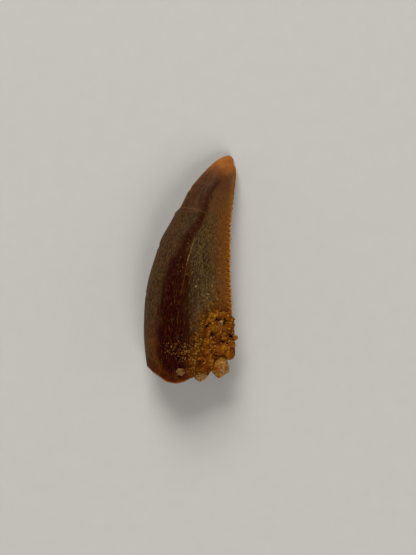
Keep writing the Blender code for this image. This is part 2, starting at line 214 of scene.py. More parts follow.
# Where the crust is rusty red and where it is honey yellow: (X, Y, radius, strength).
RUST_SPOTS = [(3.12, -5.66, 0.42, 1.0), (1.76, -5.8, 0.34, 1.0), (1.85, -6.4, 0.3, 0.9),
              (2.95, -6.7, 0.28, 0.9), (2.05, -7.5, 0.36, 0.9), (1.3, -6.75, 0.26, 0.7),
              (1.05, -7.27, 0.28, 0.8), (2.8, -4.5, 0.26, 0.9), (2.15, -4.42, 0.28, 1.0),
              (0.84, -8.5, 0.34, 0.9), (3.2, -3.95, 0.26, 0.6), (1.0, -7.9, 0.8, 0.65),
              (3.3, -7.02, 0.26, 0.75), (2.76, -7.05, 0.28, 0.75)]
HONEY_SPOTS = [(1.76, -4.11, 0.45, 0.8), (1.45, -4.64, 0.34, 0.8), (2.46, -3.67, 0.38, 0.8),
               (1.85, -5.16, 0.42, 0.8), (3.34, -6.6, 0.42, 0.4), (1.4, -8.05, 0.36, 0.6),
               (2.6, -5.55, 0.4, 0.4), (3.3, -7.55, 0.36, 0.4)]
# Grains sunk in the crust: how many, least and greatest radius, the share that stands out and
# their share of the tint.
COBBLES = [(70, 0.28, 0.52, 0.2, 0.2), (560, 0.1, 0.21, 0.4, 0.5),
           (1300, 0.045, 0.09, 0.5, 0.3)]
# Places where the crust keeps down so that the quartz stands clear: (X, Y, radius).
CLEARINGS = [(2.53, -8.64, 1.12), (1.75, -8.75, 0.55), (0.89, -9.46, 0.62), (3.9, -5.98, 0.34),
             (2.48, -4.72, 0.28)]

# Loose sand: how many grains, and the least and greatest radius.
CRUST_SAND = 420
CRUST_SAND_RADIUS = (0.035, 0.105)
FILM_SPECKS = 1250
FILM_RADIUS = (0.016, 0.052)
# The film's specks lie along curling lines, between two shares of the width. Of the places that
# are tried only a part is used.
CURL_SIZE = 0.3
CURL_WIDTH = 0.2
FILM_LEFT = 0.1
FILM_RIGHT = 0.93
FILM_FOCUS = 0.55
FILM_TRIES = 9
# The film of sand on the enamel: (X, Y, reach, share of the specks).
FILM_PATCHES = [(-0.45, -7.2, 0.95, 0.33), (-1.7, -6.9, 0.8, 0.07), (0.7, -7.2, 0.8, 0.13),
                (1.1, -5.0, 1.1, 0.17), (0.5, -8.3, 0.8, 0.05), (1.6, -3.0, 1.2, 0.13),
                (1.4, 0.2, 2.4, 0.12)]
# Larger grains along the ragged left border of the crust.
BORDER_GRAINS = 120
BORDER_RADIUS = (0.03, 0.08)
BORDER_REACH = 0.05
# Small ridges of cemented sand, as (X, Y) points along each.
SAND_RIDGES = [
    [(1.55, -3.36), (1.5, -3.14), (1.64, -2.96), (1.84, -2.97), (1.93, -3.12)],
    [(0.88, -4.81), (1.0, -4.67), (1.14, -4.55)],
    [(0.35, -5.51), (0.53, -5.69), (0.4, -6.04), (0.53, -6.31)],
    [(1.62, -3.55), (1.74, -3.72), (1.66, -3.92)],
]
RIDGE_STEP = 0.05
RIDGE_RADIUS = 0.042
# Lone bright grains on the face above the crust and beside it: (X, Y).
LONE_GRAINS = [(2.47, 0.07), (2.44, -0.36), (1.86, -1.47), (1.84, -1.86), (1.48, -2.19),
               (0.44, -1.51), (1.14, -2.75), (2.3, -2.62)]
LONE_RADIUS = 0.07
# The shape of a sand grain: how far its three sides and its corners vary.
SAND_SIDES = (0.75, 1.2)
SAND_CORNERS = 0.17

# Quartz grains: corners of the outline about the grain's middle, seen from above.
LARGE_CORNERS = [(0.12, 1.03), (-0.6, 0.63), (-0.94, 0.09), (-0.65, -0.43), (-0.38, -0.74),
                 (-0.06, -0.96), (0.4, -0.62), (0.84, -0.4), (0.88, 0.0), (0.73, 0.55), (0.44, 0.88)]
MIDDLE_CORNERS = [(0.0, 0.58), (-0.62, 0.44), (-0.66, 0.0), (-0.55, -0.21), (-0.33, -0.4),
                  (-0.05, -0.51), (0.25, -0.38), (0.55, -0.03), (0.66, 0.35)]
LEFT_CORNERS = [(-0.22, 0.33), (-0.42, 0.04), (-0.26, -0.27), (0.1, -0.34), (0.38, -0.12),
                (0.33, 0.26)]
EDGE_CORNERS = [(-0.17, 0.22), (-0.24, -0.1), (-0.05, -0.27), (0.18, -0.22), (0.24, 0.05),
                (0.12, 0.24)]
UPPER_CORNERS = [(0.02, 0.3), (-0.2, 0.12), (-0.22, -0.18), (-0.06, -0.32), (0.16, -0.16),
                 (0.22, 0.14)]
# The grains round the crown: outline, depth, place of the middle, direction of the top, quartz.
STANDING_GRAINS = {
    "quartz_grain_large": (LARGE_CORNERS, 1.55, (2.51, -8.64, 2.38), (0.1, -0.16, 1.0), "amber"),
    "quartz_grain_middle": (MIDDLE_CORNERS, 0.9, (0.89, -9.38, 2.92), (0.1, -0.2, 1.0), "rosy"),
    "quartz_grain_edge": (EDGE_CORNERS, 0.44, (3.91, -5.98, 2.02), (0.2, 0.05, 1.0), "amber"),
}
# The grains on its face: outline, depth, X, Y and height of the middle over the face, quartz.
FACE_GRAINS = {
    "quartz_grain_upper": (UPPER_CORNERS, 0.38, (2.4, -4.72, 0.36), "rosy"),
    "quartz_grain_left": (LEFT_CORNERS, 0.54, (-0.91, -8.97, 0.08), "dull"),
}
# A grain's layers: share of half its depth, size, and shift in shares of its reach.
GRAIN_LAYERS = [(-1.0, 0.5, 0.06, 0.02), (-0.25, 1.0, 0.0, 0.0), (0.2, 0.97, 0.0, 0.0),
                (0.72, 0.66, 0.06, 0.1), (1.0, 0.3, 0.1, 0.24)]
GRAIN_UNEVENNESS = 0.11
GRAIN_BEVEL = 0.035
GRAIN_CUTS = 4
# Depth, in shares of the reach, and size of the dents and of the frost on a grain.
FROSTING = ((0.012, 0.35), (0.004, 0.08))

# Tones of each part of a surface, darker and lighter, as linear red, green and blue.
ENAMEL_TONES = {
    # Partly body colour and partly painted sheen.
    "flank": ((0.028, 0.0135, 0.0042), (0.09, 0.043, 0.0155)),
    "low flank": ((0.05, 0.014, 0.0014), (0.13, 0.042, 0.0056)),
    "upper": ((0.026, 0.01, 0.0036), (0.104, 0.039, 0.015)),
    "heart": ((0.009, 0.0004, 0.0002), (0.034, 0.003, 0.0008)),
    "brown heart": ((0.01, 0.0012, 0.0003), (0.042, 0.0105, 0.0018)),
    "streak": ((0.018, 0.003, 0.0005), (0.052, 0.013, 0.002)),
    # Partly body colour and partly painted sheen.
    "olive": ((0.024, 0.0125, 0.0036), (0.122, 0.07, 0.024)),
    # Painted sheen over the olive.
    "grey olive sheen": ((0.018, 0.011, 0.0046), (0.11, 0.07, 0.034)),
    "back": ((0.06, 0.022, 0.005), (0.165, 0.071, 0.02)),
    # Painted highlight along the edges of the upper crown.
    "rim highlight": ((0.14, 0.056, 0.013), (0.26, 0.115, 0.027)),
    "keel": ((0.098, 0.025, 0.0014), (0.228, 0.08, 0.0125)),
    "amber": ((0.03, 0.0042, 0.0005), (0.105, 0.023, 0.0018)),
    "ruddy": ((0.11, 0.037, 0.011), (0.19, 0.065, 0.02)),
    "apex": ((0.27, 0.085, 0.013), (0.41, 0.14, 0.028)),
    # Painted sheen and highlight along the front edge.
    "edge sheen": ((0.05, 0.026, 0.008), (0.11, 0.058, 0.017)),
    "fleck": ((0.045, 0.01, 0.001), (0.11, 0.032, 0.004)),
    "gold": ((0.11, 0.058, 0.01), (0.28, 0.16, 0.036)),
    "film": ((0.034, 0.006, 0.0006), (0.19, 0.062, 0.0032)),
    "slit": ((0.22, 0.062, 0.0012), (0.43, 0.15, 0.006)),
    # Painted shade in the slits between serrations.
    "notch": ((0.045, 0.011, 0.0008), (0.09, 0.026, 0.0014)),
    # Painted highlight on the tips of the serration pads.
    "pad": ((0.28, 0.115, 0.033), (0.68, 0.39, 0.175)),
    "dentine": ((0.05, 0.014, 0.005), (0.2, 0.08, 0.024)),
}
STONE_TONES = {
    "body": ((0.095, 0.0215, 0.0005), (0.34, 0.102, 0.0018)),
    # Brighter grains; on the stone also a painted highlight on the raised tops.
    "bright": ((0.3, 0.11, 0.004), (0.5, 0.24, 0.018)),
    # Dark joints, and painted shade in hollows and holes.
    "joint_and_shade": ((0.026, 0.0036, 0.0004), (0.075, 0.014, 0.0006)),
    "rust": ((0.05, 0.007, 0.0004), (0.165, 0.033, 0.001)),
    "honey": ((0.17, 0.065, 0.0022), (0.36, 0.165, 0.0075)),
    "pale": ((0.26, 0.165, 0.055), (0.42, 0.3, 0.13)),
    "thin": ((0.036, 0.007, 0.0006), (0.15, 0.046, 0.0026)),
}
FILM_TONES = {
    "body": ((0.07, 0.015, 0.0006), (0.18, 0.056, 0.0024)),
    "bright": ((0.23, 0.1, 0.005), (0.43, 0.235, 0.023)),
    "rust": ((0.05, 0.009, 0.0008), (0.12, 0.028, 0.0016)),
    "pale": ((0.24, 0.16, 0.05), (0.38, 0.28, 0.105)),
}
QUARTZ_TONES = {
    "amber": {
        "body": ((0.135, 0.044, 0.001), (0.36, 0.15, 0.004)),
        "edge": ((0.42, 0.22, 0.022), (0.78, 0.51, 0.115)),
        "stain": ((0.19, 0.03, 0.001), (0.32, 0.07, 0.002)),
    },
    "rosy": {
        "body": ((0.075, 0.026, 0.004), (0.38, 0.195, 0.048)),
        "edge": ((0.42, 0.24, 0.075), (0.76, 0.53, 0.23)),
        "stain": ((0.11, 0.024, 0.002), (0.22, 0.066, 0.007)),
    },
    "dull": {
        "body": ((0.1, 0.04, 0.006), (0.24, 0.115, 0.023)),
        "edge": ((0.26, 0.135, 0.033), (0.4, 0.24, 0.075)),
        "stain": ((0.07, 0.014, 0.0012), (0.15, 0.042, 0.004)),
    },
}
CARD_TONES = {"card": ((0.6, 0.59, 0.575), (0.64, 0.63, 0.615))}
# The room's glow, near the horizon and overhead.
ROOM_TONES = {"glow": ((0.5, 0.49, 0.475), (0.06, 0.06, 0.06))}
# Where the rust spot of each kind of quartz is, from the grain's middle.
QUARTZ_RUST = {"amber": (-0.34, 0.02, 0.6), "rosy": (-0.45, 0.45, 0.3), "dull": (0.36, 0.2, 0.2)}

# Camera: straight above the tooth, framed as the photograph is.
CAMERA_DISTANCE = 500.0
CAMERA_OVER = (1.49, -0.73)
FRAME_HEIGHT = 48.8
SENSOR = 36.0

# Softboxes round the tooth: degrees from +X towards +Y, degrees above the floor, width, height
# and watts. All stand at one distance and face the tooth.
LIGHT_DISTANCE = 600.0
SOFTBOXES = {
    "apex_softbox": (104.0, 36.0, 340.0, 340.0, 3.0),
    "base_softbox": (-74.0, 34.0, 300.0, 300.0, 1.72),
    "left_softbox": (176.0, 12.0, 420.0, 100.0, 0.2),
    "right_softbox": (-4.0, 22.0, 420.0, 220.0, 0.24),
}
LIGHT_TINT = (1.0, 0.97, 0.92)
FLOOR_REACH = 450.0
FLOOR_DROP = 0.01


def curve(t, first, second, first_slope, second_slope):
    """A smooth curve from first at t 0 to second at t 1, with a slope at each end."""
    from_first = (1 + 2 * t) * (1 - t) ** 2 * first + t * (1 - t) ** 2 * first_slope
    from_second = t * t * (3 - 2 * t) * second - t * t * (1 - t) * second_slope
    return from_first + from_second


def smooth_line(points):
    """A smooth line through (place, value) points, level beyond its two ends."""
    places, values = np.array(points, float).T
    slopes = np.gradient(values, places)

    def value_at(place):
        k = np.clip(np.searchsorted(places, place) - 1, 0, len(places) - 2)
        span = places[k + 1] - places[k]
        t = np.clip((place - places[k]) / span, 0.0, 1.0)
        return curve(t, values[k], values[k + 1], span * slopes[k], span * slopes[k + 1])

    return value_at


def stack(*parts):
    return np.stack(parts, axis=-1)


def ease(low, high, value):
    """0 at low, 1 at high, an even curve between them and level beyond."""
    t = np.clip((value - low) / (high - low), 0.0, 1.0)
    return t * t * (3 - 2 * t)


def between(ends, share):
    return ends[0] + share * (ends[1] - ends[0])


def unit(vectors):
    length = np.linalg.norm(vectors, axis=-1, keepdims=True)
    return vectors / np.maximum(length, 1e-9)


def spread(count, density):
    """count places from 0 to 1, closer together where density is high."""
    fine = np.linspace(0.0, 1.0, 4001)
    total = np.cumsum(density(fine))
    total = (total - total[0]) / (total[-1] - total[0])
    return np.interp(np.linspace(0.0, 1.0, count), total, fine)


front_edge = smooth_line(FRONT_EDGE)
back_edge = smooth_line(BACK_EDGE)
underside_rise = smooth_line(UNDERSIDE_RISE)
step_line = smooth_line(STEP_LINE)
upper_rim = smooth_line(UPPER_RIM)
crust_top = smooth_line(CRUST_TOP)
crust_left = smooth_line(CRUST_LEFT)
crust_right = smooth_line(CRUST_RIGHT)
long_crack = smooth_line(LONG_CRACK)
short_crack = smooth_line(SHORT_CRACK)
heart_left = smooth_line(HEART_LEFT)
heart_right = smooth_line(HEART_RIGHT)

NOISE_SIDE = 32
NOISE_TABLE = np.random.default_rng(11).uniform(-1, 1, (NOISE_SIDE,) * 3)


def noise(points, size, seed=0):
    """Smooth noise from -1 to 1 whose lumps are about size across."""
    place = np.asarray(points) / size + 7.31 * seed
    cell = np.floor(place).astype(int)
    part = place - cell
    part = part * part * (3 - 2 * part)
    total = 0.0
    for corner in itertools.product((0, 1), repeat=3):
        weight = np.prod(np.where(corner, part, 1 - part), axis=-1)
        i, j, k = np.moveaxis((cell + corner) % NOISE_SIDE, -1, 0)
        total = total + weight * NOISE_TABLE[i, j, k]
    return total


def rough(points, size, octaves, seed=0):
    """Noise with finer noise on it."""
    return sum(noise(points, size / 2 ** k, seed + k) / 2 ** k for k in range(octaves))


# Crown shape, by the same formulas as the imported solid's.

def fullness(u, front_round, back_taper):
    """Thickness over the share u of the width, 1 where the section is thickest."""
    thickest = front_round / (front_round + back_taper)
    peak = thickest ** front_round * (1 - thickest) ** back_taper
    return u ** front_round * (1 - u) ** back_taper / peak


def step_rise(x, y, u):
    """How far the face stands out below the healed break."""
    below = step_line(x) - y
    rise = STEP_HEIGHT * ease(-STEP_HALF_WIDTH, STEP_HALF_WIDTH, below)
    front_end, back_end = STEP_ENDS
    return rise * np.exp(-np.maximum(below, 0) / STEP_FADE) * ease(*front_end, u) * ease(*back_end, u)


def crown_width(y):
    """Width of the crown at a height, closing at the apex, and its place X at the front edge."""
    closing = np.clip((y - APEX_Y + APEX_ROUND) / APEX_ROUND, 0.0, 1.0)
    full_width = back_edge(y) - front_edge(y)
    width = full_width * np.sqrt(1 - closing ** 2)
    return width, front_edge(y) + (full_width - width) / 2


def crown_point(y, u, side):
    """Points of the crown before its edge is notched.

    y is the height, u the share of the width from the front edge to the back edge, and side is
    1 on the upper face and -1 on the underside.
    """
    width, start = crown_width(y)
    x = start + u * width
    along = (y + APEX_Y) / (2 * APEX_Y)
    upper = UPPER_SHARE * width * fullness(u, between(UPPER_FRONT_ROUND, along), UPPER_BACK_TAPER)
    lower = LOWER_SHARE * width * fullness(u, between(LOWER_FRONT_ROUND, along), LOWER_BACK_TAPER)
    middle = underside_rise(y) + LOWER_SHARE * width
    z = np.where(side > 0, middle + upper + step_rise(x, y, u), middle - lower)
    return stack(x, y + 0 * z, np.maximum(z, 0.0))


def ring():
    """Share of the width and side of each point round a plain crown ring, from the front edge."""
    turn = np.arange(2 * RING_HALF) * math.pi / RING_HALF
    u = (1 - np.cos(turn)) / 2
    side = np.where(turn <= math.pi, 1.0, -1.0)
    return u, side


def rim_height(u, side):
    """Height of the broken rim, a little higher on the underside."""
    lift = LOWER_RIM_LIFT * ease(0.0, LOWER_RIM_ENDS, u) * ease(1.0, 1 - LOWER_RIM_ENDS, u)
    return upper_rim(u) + np.where(side > 0, 0.0, lift)


def base_middle():
    """Middle of the broken rim."""
    u, side = ring()
    return crown_point(rim_height(u, side), u, side).mean(axis=0)


def base_point(rim, drawn):
    """Points of the broken base: the rim drawn in to a share of its way from the middle."""
    middle = base_middle()
    point = middle + drawn * (rim - middle)
    x, z = point[..., 0], point[..., 2]
    depth = 1 - (drawn / BASE_EDGE) ** 2
    waves = np.sin(1.9 * x + 0.6) * np.sin(2.3 * z + 0.4) + 0.6 * np.sin(3.1 * x + 1.1 * z)
    point[..., 1] += depth * (BASE_HOLLOW + BASE_ROUGHNESS * waves)
    return point


def share_of_width(x, y):
    return (x - front_edge(y)) / (back_edge(y) - front_edge(y))


def on_crown(x, y, lift):
    """Points lift above the crown's upper face, and the directions out of the face there."""
    near = 0.02
    u = share_of_width(x, y)
    here = crown_point(y, u, 1)
    across = crown_point(y, u + near, 1) - here
    along = crown_point(y + near, u, 1) - here
    up = unit(np.cross(across, along))
    return here + np.asarray(lift)[..., None] * up, up


# Mesh making.

def quads(rows, columns, closed):
    """Faces between neighbouring rows of points; closed joins the last column to the first."""
    here = np.arange(rows * columns).reshape(rows, columns)
    beside = np.roll(here, -1, axis=1)
    corners = stack(here[:-1], beside[:-1], beside[1:], here[1:])
    return (corners if closed else corners[:, :-1]).reshape(-1, 4)


def new_thing(name, data, place=(0, 0, 0)):
    thing = bpy.data.objects.new(name, data)
    thing.location = place
    bpy.context.scene.collection.objects.link(thing)
    return thing


def new_piece(name, points, faces, material, sharp_degrees, marks):
    """Make one closed piece from points in millimetres; marks are numbers or vectors per point."""
    mesh = bpy.data.meshes.new(name)
    mesh.from_pydata((np.asarray(points) * MM).tolist(), [], faces)
    work = bmesh.new()
    work.from_mesh(mesh)
    bmesh.ops.recalc_face_normals(work, faces=work.faces)
    work.to_mesh(mesh)
    work.free()
    for mark, values in marks.items():
        values = np.asarray(values, np.float32)
        is_vector = values.ndim == 2
        layer = mesh.attributes.new(mark, "FLOAT_VECTOR" if is_vector else "FLOAT", "POINT")
        layer.data.foreach_set("vector" if is_vector else "value", values.ravel())
    mesh.shade_smooth()
    mesh.set_sharp_from_angle(angle=math.radians(sharp_degrees))
    mesh.materials.append(material)
    piece = new_thing(name, mesh)
    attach(piece, "root")
    return piece


# Crown.

def detail_columns():
    """Share of the width and side of each column round the detailed crown, from the front edge."""
    def density(u):
        at_back = BACK_CROWDING * ease(*BACK_CROWDED_FROM, u)
        return 1 + FRONT_CROWDING / np.sqrt(u + 0.0004) + at_back

    over = spread(OVER_COLUMNS, density)
    under = spread(UNDER_COLUMNS, density)[-2:0:-1]
    return np.concatenate([over, under]), np.concatenate([np.ones_like(over), -np.ones_like(under)])


def detail_heights(u, side):
    """Heights of the rows of points, from under the apex down to the ragged rim."""
    heights = [APEX_Y - (APEX_Y - SERRATION_TOP) * (k / APEX_ROWS) ** APEX_CROWDING
               for k in range(1, APEX_ROWS)]
    for number in range(SERRATION_COUNT):
        notch = SERRATION_TOP - (number + 0.5) * SERRATION_PITCH
        for k in range(ROWS_PER_SERRATION):
            t = (2 * k + 1) / ROWS_PER_SERRATION - 1
            heights.append(notch - math.copysign(abs(t) ** SLIT_CROWDING, t) * SERRATION_PITCH / 2)
    rim = rim_height(u, side)
    ragged = stack(MEAN_WIDTH * u, rim, 2.0 * side)
    rim = rim + RIM_RAGGEDNESS * rough(ragged, RIM_RAG_SIZE, 3, 5)
    rows = [np.full_like(u, height) for height in heights]
    rows += [between((SERRATIONS_END, rim), k / LOWER_ROWS) for k in range(LOWER_ROWS + 1)]
    return np.array(rows)


def notch_at(y):
    """Depth and reach of the notch nearest to a height, and the height from it in pitches."""
    rng = np.random.default_rng(7)
    numbers = np.arange(SERRATION_COUNT)
    depths = SERRATION_DEPTH * ease(-1.0, WORN_SERRATIONS, numbers)
    depths *= rng.uniform(*NOTCH_SPREAD, SERRATION_COUNT)
    depths[list(DEEP_NOTCHES)] *= DEEPER
    reaches = SLIT_REACH * rng.uniform(*SLIT_REACH_SPREAD, SERRATION_COUNT)
    reaches *= between((TOP_SLIT_SHARE, 1.0), ease(0, WORN_SERRATIONS + 4, numbers))
    number = np.clip(np.round((SERRATION_TOP - y) / SERRATION_PITCH - 0.5), 0, SERRATION_COUNT - 1)
    number = number.astype(int)
    phase = (y - SERRATION_TOP) / SERRATION_PITCH + number + 0.5
    return depths[number], reaches[number], phase


def serrate(points, u, width):
    """Notch the back edge and cut the slits between its serrations. Gives the slit and pad marks."""
    x, y, z = np.moveaxis(points, -1, 0)
    depth, reach, phase = notch_at(y)
    on_stretch = np.abs(phase) <= 0.75
    cut = np.minimum(depth / SERRATION_DEPTH, DEEPEST_CUT) * on_stretch
    inward = (1 - u) * width
    slit = np.exp(-((phase + SLIT_LEAN * inward / reach) / SLIT_HALF_WIDTH) ** 2)
    bow = np.clip(1 - 2 * np.abs(phase), 0, 1) ** 2
    squeeze = np.clip(1 - inward / reach, 0, 1)
    points[..., 0] = x - depth * between((bow, slit), SLIT_SHARE) * squeeze * on_stretch
    near = ease(reach, 0.1, inward) * cut
    middle = crown_point(y, np.ones_like(u), 1)[..., 2]
    swell = 1 + near * (PAD_BULGE * (1 - bow) - SLIT_GROOVE * slit)
    points[..., 2] = middle + (z - middle) * swell
    return slit * near, (1 - slit) * near


def ring_normals(points):
    """Directions out of a grid of rings."""
    down = np.gradient(points, axis=0)
    across = np.roll(points, -1, axis=1) - np.roll(points, 1, axis=1)
    return unit(np.cross(down, across))


def bumps(x, y, features):
    """Sum of round features, each (X, Y, radius, height)."""
    total = 0 * x
    for feature_x, feature_y, radius, height in features:
        away = np.hypot(x - feature_x, y - feature_y)
        total = total + height * ease(1.25 * radius, 0.5 * radius, away)
    return total


def into_crust(y, u):
    """How far inside the crust's outline a place on the upper face is, below 0 outside it."""
    share = np.clip((y - crust_top(u)) / (upper_rim(u) - crust_top(u)), 0, 1)
    return np.minimum((u - crust_left(share)) * MEAN_WIDTH, crust_top(u) - y)


def broken_base(rim):
    """Rings of points over the broken base, from the rim inwards."""
    rings = []
    for k in range(1, BREAK_ROWS):
        drawn = 1 - (k / BREAK_ROWS) ** BREAK_CROWDING
        inside = base_point(rim, drawn)
        hackle = HACKLE_DEPTH * rough(inside, HACKLE_SIZE, 5, 9) * ease(1.0, 0.9, drawn)
        inside[:, 1] += hackle + ENAMEL_STEP * ease(0.985, 0.955, drawn)
        rings.append(inside)
    return np.array(rings)


def tooth_crown(material):
    """The tooth: enamel over its whole face, and a rough break across its base."""
    u, side = detail_columns()
    y = detail_heights(u, side)
    u = np.broadcast_to(u, y.shape)
    side = np.broadcast_to(side, y.shape)
    points = crown_point(y, u, side)
    width, _ = crown_width(y)
    slit, pad = serrate(points, u, width)
    run = stack(MEAN_WIDTH * u, y, points[..., 2])
    relief = SWELL_DEPTH * noise(points, SWELL_SIZE, 1) + PIT_DEPTH * noise(points, FINE_SIZE, 2)
    relief += STRIAE_DEPTH * noise(run * (1.0, STRIAE_STRETCH, 1.0), FINE_SIZE, 3)
    relief = relief * ease(APEX_Y, APEX_Y - APEX_WEAR, y) + bumps(points[..., 0], y, FRONT_CHIPS)
    points = points + (relief * (1 - slit))[..., None] * ring_normals(points)
    points[..., 2] = np.maximum(points[..., 2], 0.0)

    inner = broken_base(points[-1])
    grid = np.concatenate([points, inner])
    count = grid.shape[1]
    outside_rows = len(points)
    apex = crown_point(np.array(APEX_Y), np.array(0.5), 1)
    centre = inner[-1].mean(axis=0)
    all_points = np.concatenate([[apex], grid.reshape(-1, 3), [centre]])
    faces = (1 + quads(len(grid), count, True)).tolist()
    last_ring = 1 + (len(grid) - 1) * count
    for column in range(count):
        beside = (column + 1) % count
        faces.append((0, 1 + beside, 1 + column))
        faces.append((last_ring + column, last_ring + beside, last_ring + count))

    def mark(values, at_apex, on_break):
        """One mark for every point: on the outside rows, at the apex and over the break."""
        full = np.full(grid.shape[:2], float(on_break))
        full[:outside_rows] = values
        return np.concatenate([[at_apex], full.ravel(), [on_break]])

    across = grid[..., 0].copy()
    across[:outside_rows] = MEAN_WIDTH * u
    all_run = np.concatenate([[(MEAN_WIDTH / 2, APEX_Y, 0.5)],
                              stack(across, grid[..., 1], grid[..., 2]).reshape(-1, 3),
                              [centre]])
    marks = {
        "run": all_run,
        "in_from_back": mark((1 - u) * width, 0.5, 3.0),
        "in_from_front": mark(u * width, 0.5, 3.0),
        "right_of_heart_left": mark((u - heart_left(y)) * width, 0.5, -3.0),
        "left_of_heart_right": mark((heart_right(y) - u) * width, 0.5, -3.0),
        "above_rim": mark(y - points[-1, :, 1], 5.0, 0.0),
        "past_long_crack": mark(points[..., 0] - long_crack(y), 3.0, 3.0),
        "past_short_crack": mark(points[..., 0] - short_crack(y), 3.0, 3.0),
        "past_healed_break": mark(y - step_line(points[..., 0]), 3.0, 3.0),
        "into_crust": mark(into_crust(y, u), -3.0, 0.0),
        "upper_face": mark(side, 1.0, 1.0),
        "slit": mark(slit, 0.0, 0.0),
        "pad": mark(pad, 0.0, 0.0),
        "broken": mark(0.0, 0.0, 1.0),
    }
    piece = new_piece("tooth_crown_enamel", all_points, faces, material, 60, marks)
    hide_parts("tooth_crown")


# Crust.

def crust_path(row_share):
    """Places across one row of crust, with a column exactly on the crown's back edge."""
    over = np.linspace(crust_left(row_share), 1.0, CRUST_COLUMNS_OVER)
    under = np.linspace(1.0, crust_right(row_share), CRUST_COLUMNS_UNDER)[1:]
    return np.concatenate([over, under])


def crust_bed():
    """The stretch of crown that the crust covers, with rows down the face and in under the base."""
    rows = []
    for share in np.linspace(0.0, 1.0, CRUST_ROWS):
        path = crust_path(share)
        u = np.where(path > 1, 2 - path, path)
        side = np.where(path > 1, -1.0, 1.0)
        top = crust_top(u)
        rows.append(crown_point(top + share * (rim_height(u, side) - top), u, side))
    rim_row = rows[-1]
    rows += [base_point(rim_row, drawn) for drawn in CRUST_BASE_STEPS]
    return np.array(rows)


def crust_thickness(bed):
    """How thick the crust is over each point of the bed."""
    rows, columns = bed.shape[:2]
    x, y = bed[..., 0], bed[..., 1]
    row, column = np.indices((rows, columns))
    under_base = ease(CRUST_ROWS - 4, CRUST_ROWS - 1, row)
    on_edge = ease(*EDGE_REACH, back_edge(y) - x)
    face = CRUST_THICKNESS * (1 - 0.5 * on_edge * ease(*UPPER_EDGE, y))
    left_end, right_end = BASE_SWELLING
    swelling = (CRUST_BASE_THICKNESS - CRUST_THICKNESS) * ease(*left_end, x) * ease(*right_end, x)
    thick = face + (CRUST_THICKNESS + swelling - face) * under_base
    waves = np.sin(5.1 * x + 1.3 * y) * np.sin(4.3 * y - 2.0 * x + 1.0)
    thick = thick + WAVES * waves * (1 - on_edge)
    relief = bumps(x, y, CRUST_LUMPS) * (1 - 0.9 * on_edge) - bumps(x, y, CRUST_PITS)
    thick = thick + relief * (1 - under_base)
    steps_in = np.minimum.reduce([row, rows - 1 - row, column, columns - 1 - column])
    thin_edge = CRUST_EDGE_SHARE + (1 - CRUST_EDGE_SHARE) * ease(0.0, 2.0, steps_in)
    return np.maximum(thick * thin_edge, CRUST_THINNEST)


def refine(grid, steps):
    """A finer grid, with steps to each step of the old one, on smooth curves through its values."""
    for axis in (0, 1):
        rows = np.moveaxis(grid, axis, 0)
        place = np.linspace(0, len(rows) - 1, (len(rows) - 1) * steps + 1)
        k = np.minimum(place.astype(int), len(rows) - 2)
        t = (place - k).reshape(-1, 1, 1)
        slopes = np.gradient(rows, axis=0)
        finer = curve(t, rows[k], rows[k + 1], slopes[k], slopes[k + 1])
        grid = np.moveaxis(finer, 0, axis)
    return grid


def cobbles(points, centres, radii):
    """How far rounded grains stand out of a surface, and which grain is on top, at each point."""
    height = np.zeros(points.shape[:-1])
    owner = np.zeros(points.shape[:-1], int)
    for number, (centre, radius) in enumerate(zip(centres, radii)):
        away = ((points - centre) ** 2).sum(axis=-1)
        top = np.sqrt(np.maximum(radius ** 2 - away, 0))
        higher = top > height
        height[higher] = top[higher]
        owner[higher] = number
    return height, owner


def sunken_grains(rng, surface):
    """How far the sunken grains stand out, how raised they are in all, and their tint."""
    relief, raised, tint = np.zeros((3, *surface.shape[:2]))
    flat = surface.reshape(-1, 3)
    for count, least, greatest, standing, tinting in COBBLES:
        centres = flat[rng.choice(len(flat), count, replace=False)]
        radii = between((least, greatest), rng.random(count) ** 1.5)
        height, owner = cobbles(surface, centres, radii)
        relief += standing * height
        raised += height / greatest
        tint += tinting * rng.random(count)[owner]
    return relief, raised, tint


